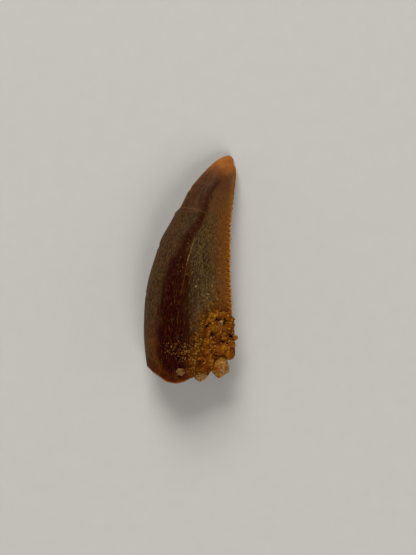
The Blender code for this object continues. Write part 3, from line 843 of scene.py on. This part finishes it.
def sandstone_crust(material):
    """The cemented sandstone, lumpy with sunken grains. Gives its outer surface back."""
    coarse_bed = crust_bed()
    bed = refine(coarse_bed, CRUST_REFINED)
    outward = unit(np.cross(np.gradient(coarse_bed, axis=0), np.gradient(coarse_bed, axis=1)))
    up = unit(refine(outward, CRUST_REFINED))
    thick = refine(crust_thickness(coarse_bed)[..., None], CRUST_REFINED)[..., 0]
    rows, columns = bed.shape[:2]
    row, column = np.indices((rows, columns)) / CRUST_REFINED
    last_row, last_column = (rows - 1) / CRUST_REFINED, (columns - 1) / CRUST_REFINED
    steps_in = np.minimum.reduce([row, last_row - row, column, last_column - column])
    cover = ease(0.1, 1.6, steps_in + 1.3 * rough(bed, 0.42, 3, 4))
    on_face = 1 - ease(CRUST_ROWS - 3, CRUST_ROWS - 1, row)
    x, y = bed[..., 0], bed[..., 1]
    holes = bumps(x, y, CRUST_HOLES) * on_face
    clear = bumps(x, y, [(*spot, 1.0) for spot in CLEARINGS]).clip(0, 1)
    smooth_top = bed + (CRUST_GAP + thick)[..., None] * up

    worn = bumps(x, y, SMOOTH_SPOTS).clip(0, 1)
    relief, raised, tint = sunken_grains(np.random.default_rng(21), smooth_top)
    relief += CRUST_GRAIN * rough(smooth_top, 0.25, 3, 6) - CRUST_SINK
    tint += SMOOTH_TINT * worn
    lace = np.clip(1 - np.abs(noise(smooth_top, LACE_SIZE, 15)) / LACE_WIDTH, 0, 1)
    lace = lace * ease(5.0, 1.5, steps_in)
    thin_edge = EDGE_THINNING * ease(0.35, 0.0, back_edge(y) - x) * ease(-5.9, -5.2, y)
    relief = (relief + LACE_HEIGHT * lace) * (1 - clear) * (1 - worn)
    relief = relief + bumps(x, y, SMALL_LUMPS) - thin_edge - 0.05 * clear - holes
    lift = cover * (CRUST_GAP + np.maximum(thick + relief, 0.02)) - (1 - cover) * CRUST_ROOT
    outer = bed + lift[..., None] * up
    inner = bed - CRUST_INSIDE * up

    count = rows * columns
    faces = quads(rows, columns, False)
    faces = np.concatenate([faces, count + faces]).tolist()
    index = np.arange(count).reshape(rows, columns)
    border = [*index[0, :-1], *index[:-1, -1], *index[-1, :0:-1], *index[:0:-1, 0]]
    for here, beside in zip(border, border[1:] + border[:1]):
        faces.append([int(corner) for corner in (here, beside, beside + count, here + count)])
    both = np.concatenate([outer.reshape(-1, 3), inner.reshape(-1, 3)])
    marks = {
        "tint": tint,
        # Steers a painted highlight on the grain tops and painted shade in the hollows.
        "raised": np.maximum((raised / 2 + lace).clip(0, 1), worn),
        # Steers painted shade into the holes.
        "hole_shade": (holes / 0.1).clip(0, 1),
        "rusty": bumps(x, y, RUST_SPOTS).clip(0, 1),
        "honey": bumps(x, y, HONEY_SPOTS).clip(0, 1),
        "from_left_border": column,
    }
    marks = {name: np.tile(values.ravel(), 2) for name, values in marks.items()}
    piece = new_piece("sandstone_crust_stone", both, faces, material, 70, marks)
    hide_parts("sandstone_crust")
    free = cover * (1 - clear) * (1 - worn) * (1 - (holes / 0.05).clip(0, 1))
    return outer, up, free


# Loose sand.

def grain_form(subdivisions):
    """Points and faces of a ball of one millimetre radius."""
    work = bmesh.new()
    bmesh.ops.create_icosphere(work, subdivisions=subdivisions, radius=1.0)
    work.verts.ensure_lookup_table()
    points = np.array([vertex.co for vertex in work.verts])
    faces = np.array([[vertex.index for vertex in face.verts] for face in work.faces])
    work.free()
    return points, faces


def turned(rng, up, lean):
    """A random rotation whose last axis stays near up."""
    axis = unit(up + lean * rng.normal(size=3))
    first = unit(np.cross(axis, rng.normal(size=3)))
    return stack(first, np.cross(axis, first), axis)


def sand_mesh(rng, middles, ups, radii, proportions, lean, big_from):
    """Many sub-angular grains as one mesh; those of big_from radius and more are rounder."""
    forms = {False: grain_form(1), True: grain_form(2)}
    points, faces, tints = [], [], []
    start = 0
    for middle, up, radius in zip(middles, ups, radii):
        form, form_faces = forms[bool(radius >= big_from)]
        sizes = radius * rng.uniform(*SAND_SIDES, 3) * proportions
        jitter = 1 + rng.uniform(-SAND_CORNERS, SAND_CORNERS, (len(form), 1))
        grain = (form * jitter * sizes) @ turned(rng, up, lean).T + middle
        points.append(grain)
        faces.append(form_faces + start)
        tints.append(np.full(len(grain), rng.random()))
        start += len(grain)
    return np.concatenate(points), np.concatenate(faces).tolist(), np.concatenate(tints)


def crust_sand(material, outer, up, free):
    """Single grains standing out of the crust."""
    rng = np.random.default_rng(31)
    weight = (free / free.sum()).ravel()
    chosen = rng.choice(weight.size, CRUST_SAND, replace=False, p=weight)
    radii = between(CRUST_SAND_RADIUS, rng.random(CRUST_SAND) ** 2.2)
    sunk = radii * rng.uniform(-0.2, 0.35, CRUST_SAND)
    ups = up.reshape(-1, 3)[chosen]
    middles = outer.reshape(-1, 3)[chosen] + sunk[:, None] * ups
    points, faces, tint = sand_mesh(rng, middles, ups, radii, (1, 1, 0.85), 0.8, 0.065)
    new_piece("crust_sand", points, faces, material, 38, {"tint": tint})


def film_places(rng):
    """Where the fine specks lie on the enamel: in patches, along thin curling lines."""
    places = []
    for x, y, reach, share in FILM_PATCHES:
        wanted = int(FILM_SPECKS * share)
        tries = rng.normal((x, y), reach * FILM_FOCUS, (wanted * FILM_TRIES, 2))
        field = stack(tries[:, 0], tries[:, 1], np.full(len(tries), 0.5))
        line = 1 - np.abs(rough(field, CURL_SIZE, 2, 13)) / CURL_WIDTH
        u = share_of_width(*tries.T)
        good = (rng.random(len(tries)) < np.clip(line, 0.05, 1)) & (u > FILM_LEFT) & (u < FILM_RIGHT)
        good &= tries[:, 1] > upper_rim(u) + 0.05
        places.append(tries[good][:wanted])
    return np.concatenate(places)


def ridge_places():
    """Closely spaced places along the small ridges of sand."""
    places = []
    for ridge in SAND_RIDGES:
        corners = np.array(ridge)
        lengths = np.linalg.norm(np.diff(corners, axis=0), axis=1)
        run = np.concatenate([[0], np.cumsum(lengths)])
        steps = np.arange(0, run[-1], RIDGE_STEP)
        line_x = smooth_line(list(zip(run, corners[:, 0])))
        line_y = smooth_line(list(zip(run, corners[:, 1])))
        places.append(stack(line_x(steps), line_y(steps)))
    return np.concatenate(places)


def border_places(rng):
    """Places on the enamel just outside the left and upper border of the crust."""
    share = rng.uniform(0.0, 0.97, BORDER_GRAINS)
    u = crust_left(share) - BORDER_REACH * np.abs(rng.normal(size=BORDER_GRAINS)) + 0.01
    y = crust_top(np.maximum(u, 0.66)) + share * (upper_rim(u) - crust_top(np.maximum(u, 0.66)))
    return stack(between((front_edge(y), back_edge(y)), u), y)


def sand_film(material):
    """Sand that clings to the enamel: fine specks, grains by the crust and small ridges."""
    rng = np.random.default_rng(41)
    specks, border, ridges = film_places(rng), border_places(rng), ridge_places()
    lone = np.array(LONE_GRAINS)
    for name, places, least_tint, radii in (
            ("sand_film", specks, 0.0, between(FILM_RADIUS, rng.random(len(specks)) ** 2)),
            ("border_sand", border, 0.2, between(BORDER_RADIUS, rng.random(len(border)) ** 2)),
            ("sand_ridges", ridges, 0.65, RIDGE_RADIUS * rng.uniform(0.7, 1.3, len(ridges))),
            ("lone_grains", lone, 0.85, LONE_RADIUS * rng.uniform(0.8, 1.2, len(lone)))):
        middles, ups = on_crown(places[:, 0], places[:, 1], 0.15 * radii)
        points, faces, tint = sand_mesh(rng, middles, ups, radii, (1.5, 0.8, 0.6), 0.2, 0.06)
        tint = least_tint + (1 - least_tint) * tint
        new_piece(name, points, faces, material, 38, {"tint": tint})


# Quartz grains.

def quartz_grain(name, corners, depth, middle, up, material):
    """One many-sided grain with worn edges and a frosted skin, in place of its solid."""
    corners = np.array(corners, float)
    reach = np.linalg.norm(corners, axis=1).mean()
    rng = np.random.default_rng(len(name))
    work = bmesh.new()
    for level, share, shift_x, shift_y in GRAIN_LAYERS:
        uneven = GRAIN_UNEVENNESS * reach * (1 - share ** 3)
        for x, y in corners * share:
            place = np.array((x + shift_x * reach, y + shift_y * reach, level * depth / 2))
            work.verts.new(tuple(place + uneven * rng.uniform(-1, 1, 3)))
    hull = bmesh.ops.convex_hull(work, input=work.verts)
    spare = {thing for thing in hull["geom_interior"] + hull["geom_unused"]
             if isinstance(thing, bmesh.types.BMVert)}
    bmesh.ops.delete(work, geom=list(spare), context="VERTS")
    bmesh.ops.dissolve_limit(work, angle_limit=math.radians(9), verts=work.verts, edges=work.edges)
    bmesh.ops.bevel(work, geom=work.edges, offset=GRAIN_BEVEL * reach, segments=2, profile=0.6,
                    affect="EDGES", clamp_overlap=True)
    bmesh.ops.triangulate(work, faces=work.faces)
    bmesh.ops.subdivide_edges(work, edges=work.edges, cuts=GRAIN_CUTS, use_grid_fill=True)
    bmesh.ops.triangulate(work, faces=work.faces)
    work.normal_update()
    work.verts.index_update()
    points = np.array([vertex.co for vertex in work.verts])
    normals = np.array([vertex.normal for vertex in work.verts])
    worn = np.array([1 - sum((face.normal for face in vertex.link_faces), Vector()).length
                     / len(vertex.link_faces) for vertex in work.verts])
    faces = [[vertex.index for vertex in face.verts] for face in work.faces]
    work.free()
    (dents, dent_size), (frost, frost_size) = FROSTING
    skin = dents * rough(points, dent_size, 3, len(name)) + frost * noise(points, frost_size, 2)
    points = points + (skin * reach)[:, None] * normals
    turn = Vector((0, 0, 1)).rotation_difference(Vector(up).normalized()).to_matrix()
    placed = points @ np.array(turn).T + np.array(middle, float)
    marks = {"own_place": points, "edge_sharpness": (worn / 0.02).clip(0, 1)}
    piece = new_piece(name + "_crystal", placed, faces, material, 24, marks)
    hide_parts(name)


# Materials.

class Value:
    """An output of a node. Sums, products, fades and noise of it add the nodes for them."""

    def __init__(self, paint, socket):
        self.paint = paint
        self.socket = socket

    def plus(self, other):
        return self.paint.maths("ADD", self, other)

    def times(self, other):
        return self.paint.maths("MULTIPLY", self, other)

    __add__ = __radd__ = plus
    __mul__ = __rmul__ = times

    def __sub__(self, other):
        return self.paint.maths("SUBTRACT", self, other)

    def __rsub__(self, other):
        return self.paint.maths("SUBTRACT", other, self)

    def __truediv__(self, other):
        return self.paint.maths("DIVIDE", self, other)

    def __rtruediv__(self, other):
        return self.paint.maths("DIVIDE", other, self)

    def __abs__(self):
        return self.paint.maths("ABSOLUTE", self, 0.0)

    def fade(self, low=0.32, high=0.68):
        """0 at low and 1 at high, with an even curve between. The usual ends sharpen noise."""
        ends = {"Value": self, "From Min": low, "From Max": high}
        return self.paint.add("ShaderNodeMapRange", ends, interpolation_type="SMOOTHSTEP")

    def stretched(self, *factors):
        return self.paint.add("ShaderNodeVectorMath", {0: self, 1: factors}, operation="MULTIPLY")

    def noise(self, size, detail=3.0, roughness=0.55):
        """Noise from 0 to 1 over this place, with lumps of about size."""
        return self.paint.add("ShaderNodeTexNoise", {"Vector": self, "Scale": 1 / size,
                                                     "Detail": detail, "Roughness": roughness})

    def dashes(self, width, length, cover):
        """Short marks along the tooth, 1 inside them; cover is about the share that they take."""
        field = self.stretched(1.0, width / length, 1.0).noise(width, 1.0, 0.5)
        start = 0.7 - 0.4 * cover
        return field.fade(start - 0.04, start + 0.04)

    def lay(self, tone, factor, mask):
        """This colour with a tone over it, as far as the mask is 1."""
        return self.paint.mix(mask, self, self.paint.tone(tone, factor))


class Paint:
    """Short calls that add nodes to one material or node group."""

    def __init__(self, tree, tones=None):
        self.tree = tree
        self.tones = tones

    def fill(self, node, inputs):
        """Give a node its named or numbered inputs, each a Value or a constant."""
        for name, given in inputs.items():
            if isinstance(given, Value):
                self.tree.links.new(given.socket, node.inputs[name])
            else:
                node.inputs[name].default_value = given

    def add(self, kind, inputs, output=0, **settings):
        """Add a node and give one of its outputs."""
        node = self.tree.nodes.new(kind)
        for name, setting in settings.items():
            setattr(node, name, setting)
        self.fill(node, inputs)
        return Value(self, node.outputs[output])

    def group(self, name, place, size, **others):
        """Use a node group at a place and size, and give its outputs."""
        used = self.add("ShaderNodeGroup", {"Place": place, "Size": size, **others},
                        node_tree=bpy.data.node_groups[name])
        return [Value(self, socket) for socket in used.socket.node.outputs]

    def maths(self, operation, first, second):
        return self.add("ShaderNodeMath", {0: first, 1: second}, operation=operation)

    def mix(self, factor, first, second):
        """The first colour where factor is 0 and the second where it is 1."""
        return self.add("ShaderNodeMix", {0: factor, 6: first, 7: second}, 2, data_type="RGBA")

    def tone(self, name, factor):
        """A named tone of this material, darker where factor is 0 and lighter where it is 1."""
        dark, light = self.tones[name]
        return self.mix(factor, (*dark, 1.0), (*light, 1.0))

    def mark(self, name, output="Fac"):
        return self.add("ShaderNodeAttribute", {}, output, attribute_name=name)

    def in_millimetres(self):
        """The place on the object, in millimetres."""
        return self.add("ShaderNodeTexCoord", {}, "Object").stretched(1 / MM, 1 / MM, 1 / MM)


def new_group(name, **inputs):
    """A node group with a place and the named inputs. Gives its paint and their values."""
    tree = bpy.data.node_groups.new(name, "ShaderNodeTree")
    tree.interface.new_socket("Place", in_out="INPUT", socket_type="NodeSocketVector")
    for label, usual in inputs.items():
        socket = tree.interface.new_socket(label, in_out="INPUT", socket_type="NodeSocketFloat")
        socket.default_value = usual
    paint = Paint(tree)
    sockets = tree.nodes.new("NodeGroupInput").outputs
    return paint, [Value(paint, sockets[label]) for label in ("Place", *inputs)]


def finish_group(paint, **outputs):
    for label in outputs:
        paint.tree.interface.new_socket(label, in_out="OUTPUT", socket_type="NodeSocketFloat")
    paint.fill(paint.tree.nodes.new("NodeGroupOutput"), outputs)


def iron_stain_group():
    """Blotches of rust, as a mask for the stone, the quartz and the broken base."""
    paint, (place, size, amount) = new_group("iron_stain", Size=1.0, Amount=0.5)
    start = 0.78 - amount * 0.5
    finish_group(paint, Mask=place.noise(size, 5.0, 0.62).fade(start, start + 0.14))


def fine_grain_group():
    """Fine tooth of a stony skin: a height for bumps and an even value for tints."""
    paint, (place, size) = new_group("fine_grain", Size=0.1)
    small = place.noise(size, 4.0, 0.6)
    cells = paint.add("ShaderNodeTexVoronoi", {"Vector": place, "Scale": 1 / size})
    finish_group(paint, Height=small - cells * 0.5, Value=small)


def new_material(name, tones):
    """A new material and the calls that paint it."""
    material = bpy.data.materials.new(name)
    material.use_nodes = True
    return material, Paint(material.node_tree, tones)


def finish_material(paint, surface, roughness, height, depth, **others):
    """Give the shader its colour, roughness, a bump of a depth in millimetres and its constants."""
    normal = paint.add("ShaderNodeBump", {"Height": height, "Distance": depth * MM})
    constants = {name.replace("_", " "): constant for name, constant in others.items()}
    paint.fill(paint.tree.nodes["Principled BSDF"], {"Base Color": surface, "Roughness": roughness,
                                                     "Normal": normal, **constants})


def hairline(offset, run, width, wander):
    """A thin, broken, wandering line where the offset from it is near nought."""
    away = abs(offset + (run.noise(0.45) - 0.5) * wander)
    patchy = 0.35 + run.noise(0.25, 2.0).fade(0.35, 0.6)
    return 1.0 - (away / (patchy * width)).fade(0.4, 1.1)


def enamel_ground(paint, run, height, in_back, streaks, fine):
    """Broad tones: olive flank and olive band, both partly painted sheen, browner upper crown, dark
    heart and orange keel.
    """
    # The flank tone is partly body colour and partly painted sheen, lighter than the heart.
    flank = paint.tone("flank", streaks).lay("low flank", streaks, height.fade(-3.6, -7.2))
    above_break = paint.mark("past_healed_break").fade(-0.6, 0.1)
    cloudy = fine * 0.4 + run.noise(0.55, 4.0).fade() * 0.6
    surface = flank.lay("upper", cloudy, above_break * height.fade(3.5, 4.8))

    tongues = run.stretched(1.0, 0.22, 1.0).noise(0.32)
    unsteady = (streaks - 0.5) * 0.4 + (tongues - 0.5) * 0.75
    from_left = paint.mark("right_of_heart_left") + unsteady
    crisp = 1.0 + height.fade(1.0, 4.4) * 2.0
    from_right = paint.mark("left_of_heart_right") * crisp + unsteady * 2.0

    back = paint.tone("back", fine).lay("back", streaks, in_back.fade(2.4, 0.9))
    speckle = run.stretched(1.0, 0.3, 1.0).noise(0.07, 1.0)
    long_streaks = run.stretched(1.0, 0.1, 1.0).noise(0.16, 2.0)
    speckle = (speckle * 0.65 + long_streaks * 0.35).fade(0.37, 0.64)
    # The olive band is partly painted sheen; its greyer part, away from the back edge, is painted
    # sheen over the olive.
    olives = paint.tone("olive", speckle).lay("grey olive sheen", speckle, in_back.fade(2.6, 3.4))
    olive_and_sheen_band = in_back.fade(0.9, 2.3) * height.fade(5.6, 4.4) * height.fade(-7.4, -5.4)
    back = paint.mix(olive_and_sheen_band, back, olives)
    back = back.lay("upper", 0.7 + fine * 0.5, height.fade(4.2, 5.8) * 0.5)
    surface = paint.mix(from_right.fade(0.35, -0.55) * height.fade(8.4, 6.4), surface, back)

    heart = paint.tone("heart", streaks).lay("brown heart", streaks, from_right.fade(1.8, 0.3))
    heart = heart.lay("streak", streaks, height.fade(1.0, 4.4))
    within = from_left.fade(-0.12, 0.22) * from_right.fade(-0.45, 0.55)
    surface = paint.mix(within * height.fade(8.8, 7.0), surface, heart)
    keel = in_back.fade(1.5, 0.3) * height.fade(8.0, 5.0) * 0.9
    return surface.lay("keel", fine, keel), within


def enamel_markings(paint, run, height, in_back, streaks, surface, within):
    """Flecks, gold hairlines, the healed break, the apex, and painted sheen and highlights along the
    edges.
    """
    from_front = paint.mark("in_from_front")
    mirrored = run.stretched(-1.0, 1.0, 1.0)
    flecks = run.dashes(0.07, 0.55, 0.17) * within * height.fade(3.5, 0.0)
    surface = surface.lay("fleck", run.noise(0.6), flecks * 0.5)
    surface = surface.lay("gold", 0.2, mirrored.dashes(0.07, 0.7, 0.04) * within * 0.5)
    outside = within.fade(0.8, 0.2) * in_back.fade(0.5, 1.4) * from_front.fade(2.0, 2.6)
    outside = outside * height.fade(5.2, 4.2) * height.fade(-5.6, -4.6)
    surface = surface.lay("gold", 0.35, run.dashes(0.13, 0.26, 0.14) * outside * 0.75)
    surface = surface.lay("olive", 0.0, mirrored.dashes(0.14, 0.3, 0.2) * outside * 0.6)

    # Painted sheen in a band along the front edge, and a painted highlight on its very rim.
    front_sheen = from_front.fade(0.6, 0.2) * height.fade(4.0, -1.0)
    surface = surface.lay("edge sheen", streaks, front_sheen * 0.35)
    surface = surface.lay("edge sheen", 1.0, from_front.fade(0.07, 0.0) * 0.5)
    cloud = paint.in_millimetres().noise(0.5, 4.0)
    lifted = height + (cloud - 0.5) * 1.2 + in_back.fade(2.2, 0.3) * 0.75 - 0.5
    surface = surface.lay("ruddy", cloud, lifted.fade(6.9, 8.7) * 0.85)
    # Painted highlights along the back and front edges of the upper crown.
    back_rim = in_back.fade(0.6, 0.1) * height.fade(3.6, 6.0)
    surface = surface.lay("rim highlight", cloud, back_rim * 0.85)
    front_rim = from_front.fade(0.16, 0.0) * height.fade(4.4, 6.4)
    surface = surface.lay("rim highlight", cloud, front_rim * 0.8)
    surface = surface.lay("apex", cloud, lifted.fade(8.0, 9.5))

    long_line = hairline(paint.mark("past_long_crack"), run, 0.04, 0.04)
    long_line = long_line * height.fade(-2.5, -1.9) * height.fade(2.9, 2.3)
    short_line = hairline(paint.mark("past_short_crack"), run, 0.032, 0.14)
    short_line = short_line * height.fade(-1.1, -0.6) * height.fade(0.5, 0.1)
    upper_face = paint.mark("upper_face").fade(0.0, 0.5)
    lines = paint.maths("MAXIMUM", long_line, short_line) * upper_face
    lit = paint.tone("fleck", 1.0).lay("gold", 0.8, height.fade(0.1, 0.9))
    surface = paint.mix(lines * 0.9, surface, lit)
    healed = hairline(paint.mark("past_healed_break"), run, 0.045, 0.16) * in_back.fade(1.6, 2.6)
    return surface.lay("gold", 0.1, healed * upper_face * 0.45), lines


def fossil_enamel():
    """Satin enamel: dark red heart, olive flanks, amber apex, rim and edge slits; rough dentine."""
    material, paint = new_material("fossil_enamel", ENAMEL_TONES)
    run = paint.mark("run", "Vector")
    height = paint.add("ShaderNodeSeparateXYZ", {0: run}, "Y")
    in_back = paint.mark("in_from_back")
    streaks = run.stretched(1.0, 0.25, 1.0).noise(0.08, 1.0).fade(0.34, 0.66)
    fine = run.noise(0.09, 2.0, 0.65).fade(0.34, 0.66)
    surface, within = enamel_ground(paint, run, height, in_back, streaks, fine)
    surface, lines = enamel_markings(paint, run, height, in_back, streaks, surface, within)

    broad = run.noise(1.0, 4.0)
    above_rim = paint.mark("above_rim")
    near_rim = above_rim + (broad - 0.5) * 1.2
    mottle = run.noise(0.35, 5.0, 0.65).fade(0.36, 0.66)
    surface = surface.lay("amber", mottle, near_rim.fade(1.2, 0.45) * 0.9)
    surface = surface.lay("apex", fine, above_rim.fade(0.13, 0.03) * 0.55)
    ragged = run.noise(0.55) + run.noise(0.16, 2.0) - 1.0
    patches = paint.mark("into_crust") + ragged * 2.0
    stained = run.noise(0.17, 3.0, 0.6).fade()
    surface = surface.lay("film", stained, patches.fade(-1.1, -0.2) * 0.85)

    slit = paint.mark("slit")
    pad = paint.mark("pad")
    surface = surface.lay("slit", 0.2, pad * in_back.fade(0.5, 0.2) * 0.25)
    # Painted highlight on the outer tips of the serration pads.
    surface = surface.lay("pad", fine, pad * in_back.fade(0.24, 0.06) * height.fade(6.8, 3.5))
    surface = surface.lay("slit", fine, slit.fade(0.04, 0.24))
    # Painted shade down the middle of each slit between serrations.
    surface = surface.lay("notch", fine, slit.fade(0.48, 0.85) * broad.fade(0.3, 0.6))

    place = paint.in_millimetres()
    layered = place.stretched(1.0, 1.0, 2.2).noise(0.3, 6.0, 0.65)
    [rust] = paint.group("iron_stain", place, 1.3, Amount=0.5)
    dentine = paint.tone("dentine", layered.fade(0.28, 0.74)).lay("amber", 0.8, rust * 0.6)
    broken = paint.mark("broken")
    surface = paint.mix(broken, surface, dentine)

    roughness = 0.4 + fine * 0.1 + broken * 0.4 + slit * 0.2
    skin, _ = paint.group("fine_grain", place, 0.1)
    skin = streaks * 0.6 + skin * 0.5 + lines * 0.4
    finish_material(paint, surface, roughness, skin, 0.01, Specular_IOR_Level=0.045,
                    Subsurface_Weight=0.06, Subsurface_Radius=(1.0, 0.35, 0.12),
                    Subsurface_Scale=0.4 * MM)
    return material


def ochre_sandstone():
    """Honey-coloured cemented sandstone: rusty joints, brighter grains with a painted highlight on
    raised tops, and painted shade in the hollows and in the dark red holes.
    """
    material, paint = new_material("ochre_sandstone", STONE_TONES)
    place = paint.in_millimetres()
    skin, even = paint.group("fine_grain", place, 0.08)
    patch = place.noise(0.6, 4.0).fade()
    tint = paint.mark("tint") * 0.6 + patch * 0.5 + even * 0.3 - 0.2
    ragged = (place.noise(0.35, 4.0) - 0.5) * 1.4
    honey = (paint.mark("honey") + ragged).fade(0.25, 0.75)
    surface = paint.tone("body", tint).lay("honey", tint, honey * 0.8)
    [rust] = paint.group("iron_stain", place, 1.0, Amount=0.45)
    rust = paint.maths("MAXIMUM", rust * 0.5, (paint.mark("rusty") + ragged).fade(0.25, 0.75))
    surface = surface.lay("rust", even, rust * 0.85)
    raised = paint.mark("raised")
    # Brighter grains on the raised tops, partly a painted highlight.
    surface = surface.lay("bright", even, tint.fade(0.62, 0.85) * raised.fade(0.3, 0.8) * 0.8)
    surface = surface.lay("joint_and_shade", patch, place.noise(0.15).fade(0.54, 0.66) * 0.55)
    # Painted shade in the hollows between the raised grains.
    surface = surface.lay("joint_and_shade", patch, raised.fade(0.55, 0.15) * 0.75)
    thin = paint.mark("from_left_border") + ragged * 1.5
    surface = surface.lay("thin", even, thin.fade(2.6, 0.6) * 0.75)
    # Painted shade in the holes, near black.
    surface = surface.lay("joint_and_shade", 0.0, paint.mark("hole_shade"))
    finish_material(paint, surface, 0.62 + even * 0.3, skin, 0.03, Specular_IOR_Level=0.06,
                    Subsurface_Weight=0.1, Subsurface_Radius=(1.0, 0.4, 0.1),
                    Subsurface_Scale=0.25 * MM)
    return material


def loose_sand(name, tones):
    """Single sand grains, each with its own tint, a few of them pale."""
    material, paint = new_material(name, tones)
    place = paint.in_millimetres()
    skin, even = paint.group("fine_grain", place, 0.05)
    own = paint.mark("tint")
    surface = paint.tone("body", even).lay("bright", even, own.fade(0.3, 1.0))
    surface = surface.lay("pale", even, own.fade(0.965, 0.98))
    [rust] = paint.group("iron_stain", place, 0.6, Amount=0.5)
    surface = surface.lay("rust", own, rust * 0.6)
    finish_material(paint, surface, 0.42 + even * 0.3, skin, 0.008, Specular_IOR_Level=0.1)
    return material


def cloudy_quartz(kind):
    """Cloudy quartz, paler along its sharpest edges, with veils inside, and rust in blotches and at
    one spot.
    """
    material, paint = new_material(kind + "_quartz", QUARTZ_TONES[kind])
    place = paint.mark("own_place", "Vector")
    skin, even = paint.group("fine_grain", place, 0.09)
    cloud = place.noise(0.4, 5.0, 0.6).fade()
    speckle = place.noise(0.13).fade(0.38, 0.62)
    veil = place.stretched(1.0, 2.6, 1.4).noise(0.35, 4.0).fade(0.54, 0.68)
    # Paler along the sharpest edges, and in the veils.
    pale = paint.maths("MAXIMUM", veil * 0.7, paint.mark("edge_sharpness") * 0.85)
    surface = paint.tone("body", cloud * 0.45 + speckle * 0.55).lay("edge", cloud, pale)
    [rust] = paint.group("iron_stain", place, 0.7, Amount=0.4)
    away = paint.add("ShaderNodeVectorMath", {0: place, 1: QUARTZ_RUST[kind]}, "Value",
                     operation="DISTANCE")
    away = away + (place.noise(0.2) - 0.5) * 0.5
    rust = paint.maths("MAXIMUM", rust * 0.5, away.fade(0.34, 0.12))
    surface = surface.lay("stain", even, rust)
    finish_material(paint, surface, 0.26 + cloud * 0.2, skin, 0.008, IOR=1.54,
                    Specular_IOR_Level=0.15, Transmission_Weight=0.04, Subsurface_Weight=0.1,
                    Subsurface_Radius=(1.0, 0.65, 0.3), Subsurface_Scale=0.22 * MM)
    return material


def pale_card():
    """The plain pale floor."""
    material, paint = new_material("pale_card", CARD_TONES)
    skin, even = paint.group("fine_grain", paint.in_millimetres(), 1.5)
    finish_material(paint, paint.tone("card", even), 0.85 + even * 0.1, skin, 0.01)
    return material


# Floor, light and camera.

def floor(material):
    """One large flat sheet just under the tooth."""
    half = FLOOR_REACH * MM
    mesh = bpy.data.meshes.new("floor")
    corners = [(-half, -half, 0), (half, -half, 0), (half, half, 0), (-half, half, 0)]
    mesh.from_pydata(corners, [], [(0, 1, 2, 3)])
    mesh.materials.append(material)
    new_thing("floor", mesh, (0, 0, -FLOOR_DROP * MM))


def softboxes():
    """Broad lamps that all face the tooth."""
    for name, (turn, rise, width, height, watts) in SOFTBOXES.items():
        turn, rise = math.radians(turn), math.radians(rise)
        direction = Vector((math.cos(turn) * math.cos(rise), math.sin(turn) * math.cos(rise),
                            math.sin(rise)))
        lamp = bpy.data.lights.new(name, "AREA")
        lamp.shape = "RECTANGLE"
        lamp.size = width * MM
        lamp.size_y = height * MM
        lamp.energy = watts
        lamp.color = LIGHT_TINT
        thing = new_thing(name, lamp, direction * LIGHT_DISTANCE * MM)
        thing.rotation_mode = "QUATERNION"
        thing.rotation_quaternion = direction.to_track_quat("Z", "Y")


def room_light():
    """An even glow, brighter near the horizon than overhead."""
    world = bpy.data.worlds.new("studio")
    world.use_nodes = True
    paint = Paint(world.node_tree, ROOM_TONES)
    direction = paint.add("ShaderNodeTexCoord", {}, "Generated")
    up = paint.add("ShaderNodeSeparateXYZ", {0: direction}, "Z")
    glow = paint.tone("glow", up.fade(0.05, 0.75))
    paint.fill(world.node_tree.nodes["Background"], {"Color": glow})
    bpy.context.scene.world = world


def camera():
    lens = bpy.data.cameras.new("camera")
    lens.lens = SENSOR * CAMERA_DISTANCE / FRAME_HEIGHT
    lens.sensor_width = SENSOR
    lens.clip_start = 10 * MM
    lens.clip_end = 2.0
    place = Vector((*CAMERA_OVER, CAMERA_DISTANCE)) * MM
    bpy.context.scene.camera = new_thing("camera", lens, place)


def main():
    iron_stain_group()
    fine_grain_group()
    quartz = {kind: cloudy_quartz(kind) for kind in QUARTZ_TONES}
    tooth_crown(fossil_enamel())
    outer, up, free = sandstone_crust(ochre_sandstone())
    crust_sand(loose_sand("loose_sand", STONE_TONES), outer, up, free)
    sand_film(loose_sand("film_sand", FILM_TONES))
    for name, (corners, depth, middle, up, kind) in STANDING_GRAINS.items():
        quartz_grain(name, corners, depth, middle, up, quartz[kind])
    for name, (corners, depth, place, kind) in FACE_GRAINS.items():
        quartz_grain(name, corners, depth, *on_crown(*place), quartz[kind])
    floor(pale_card())
    softboxes()
    room_light()
    camera()
    bpy.context.scene.view_settings.view_transform = "Standard"


main()
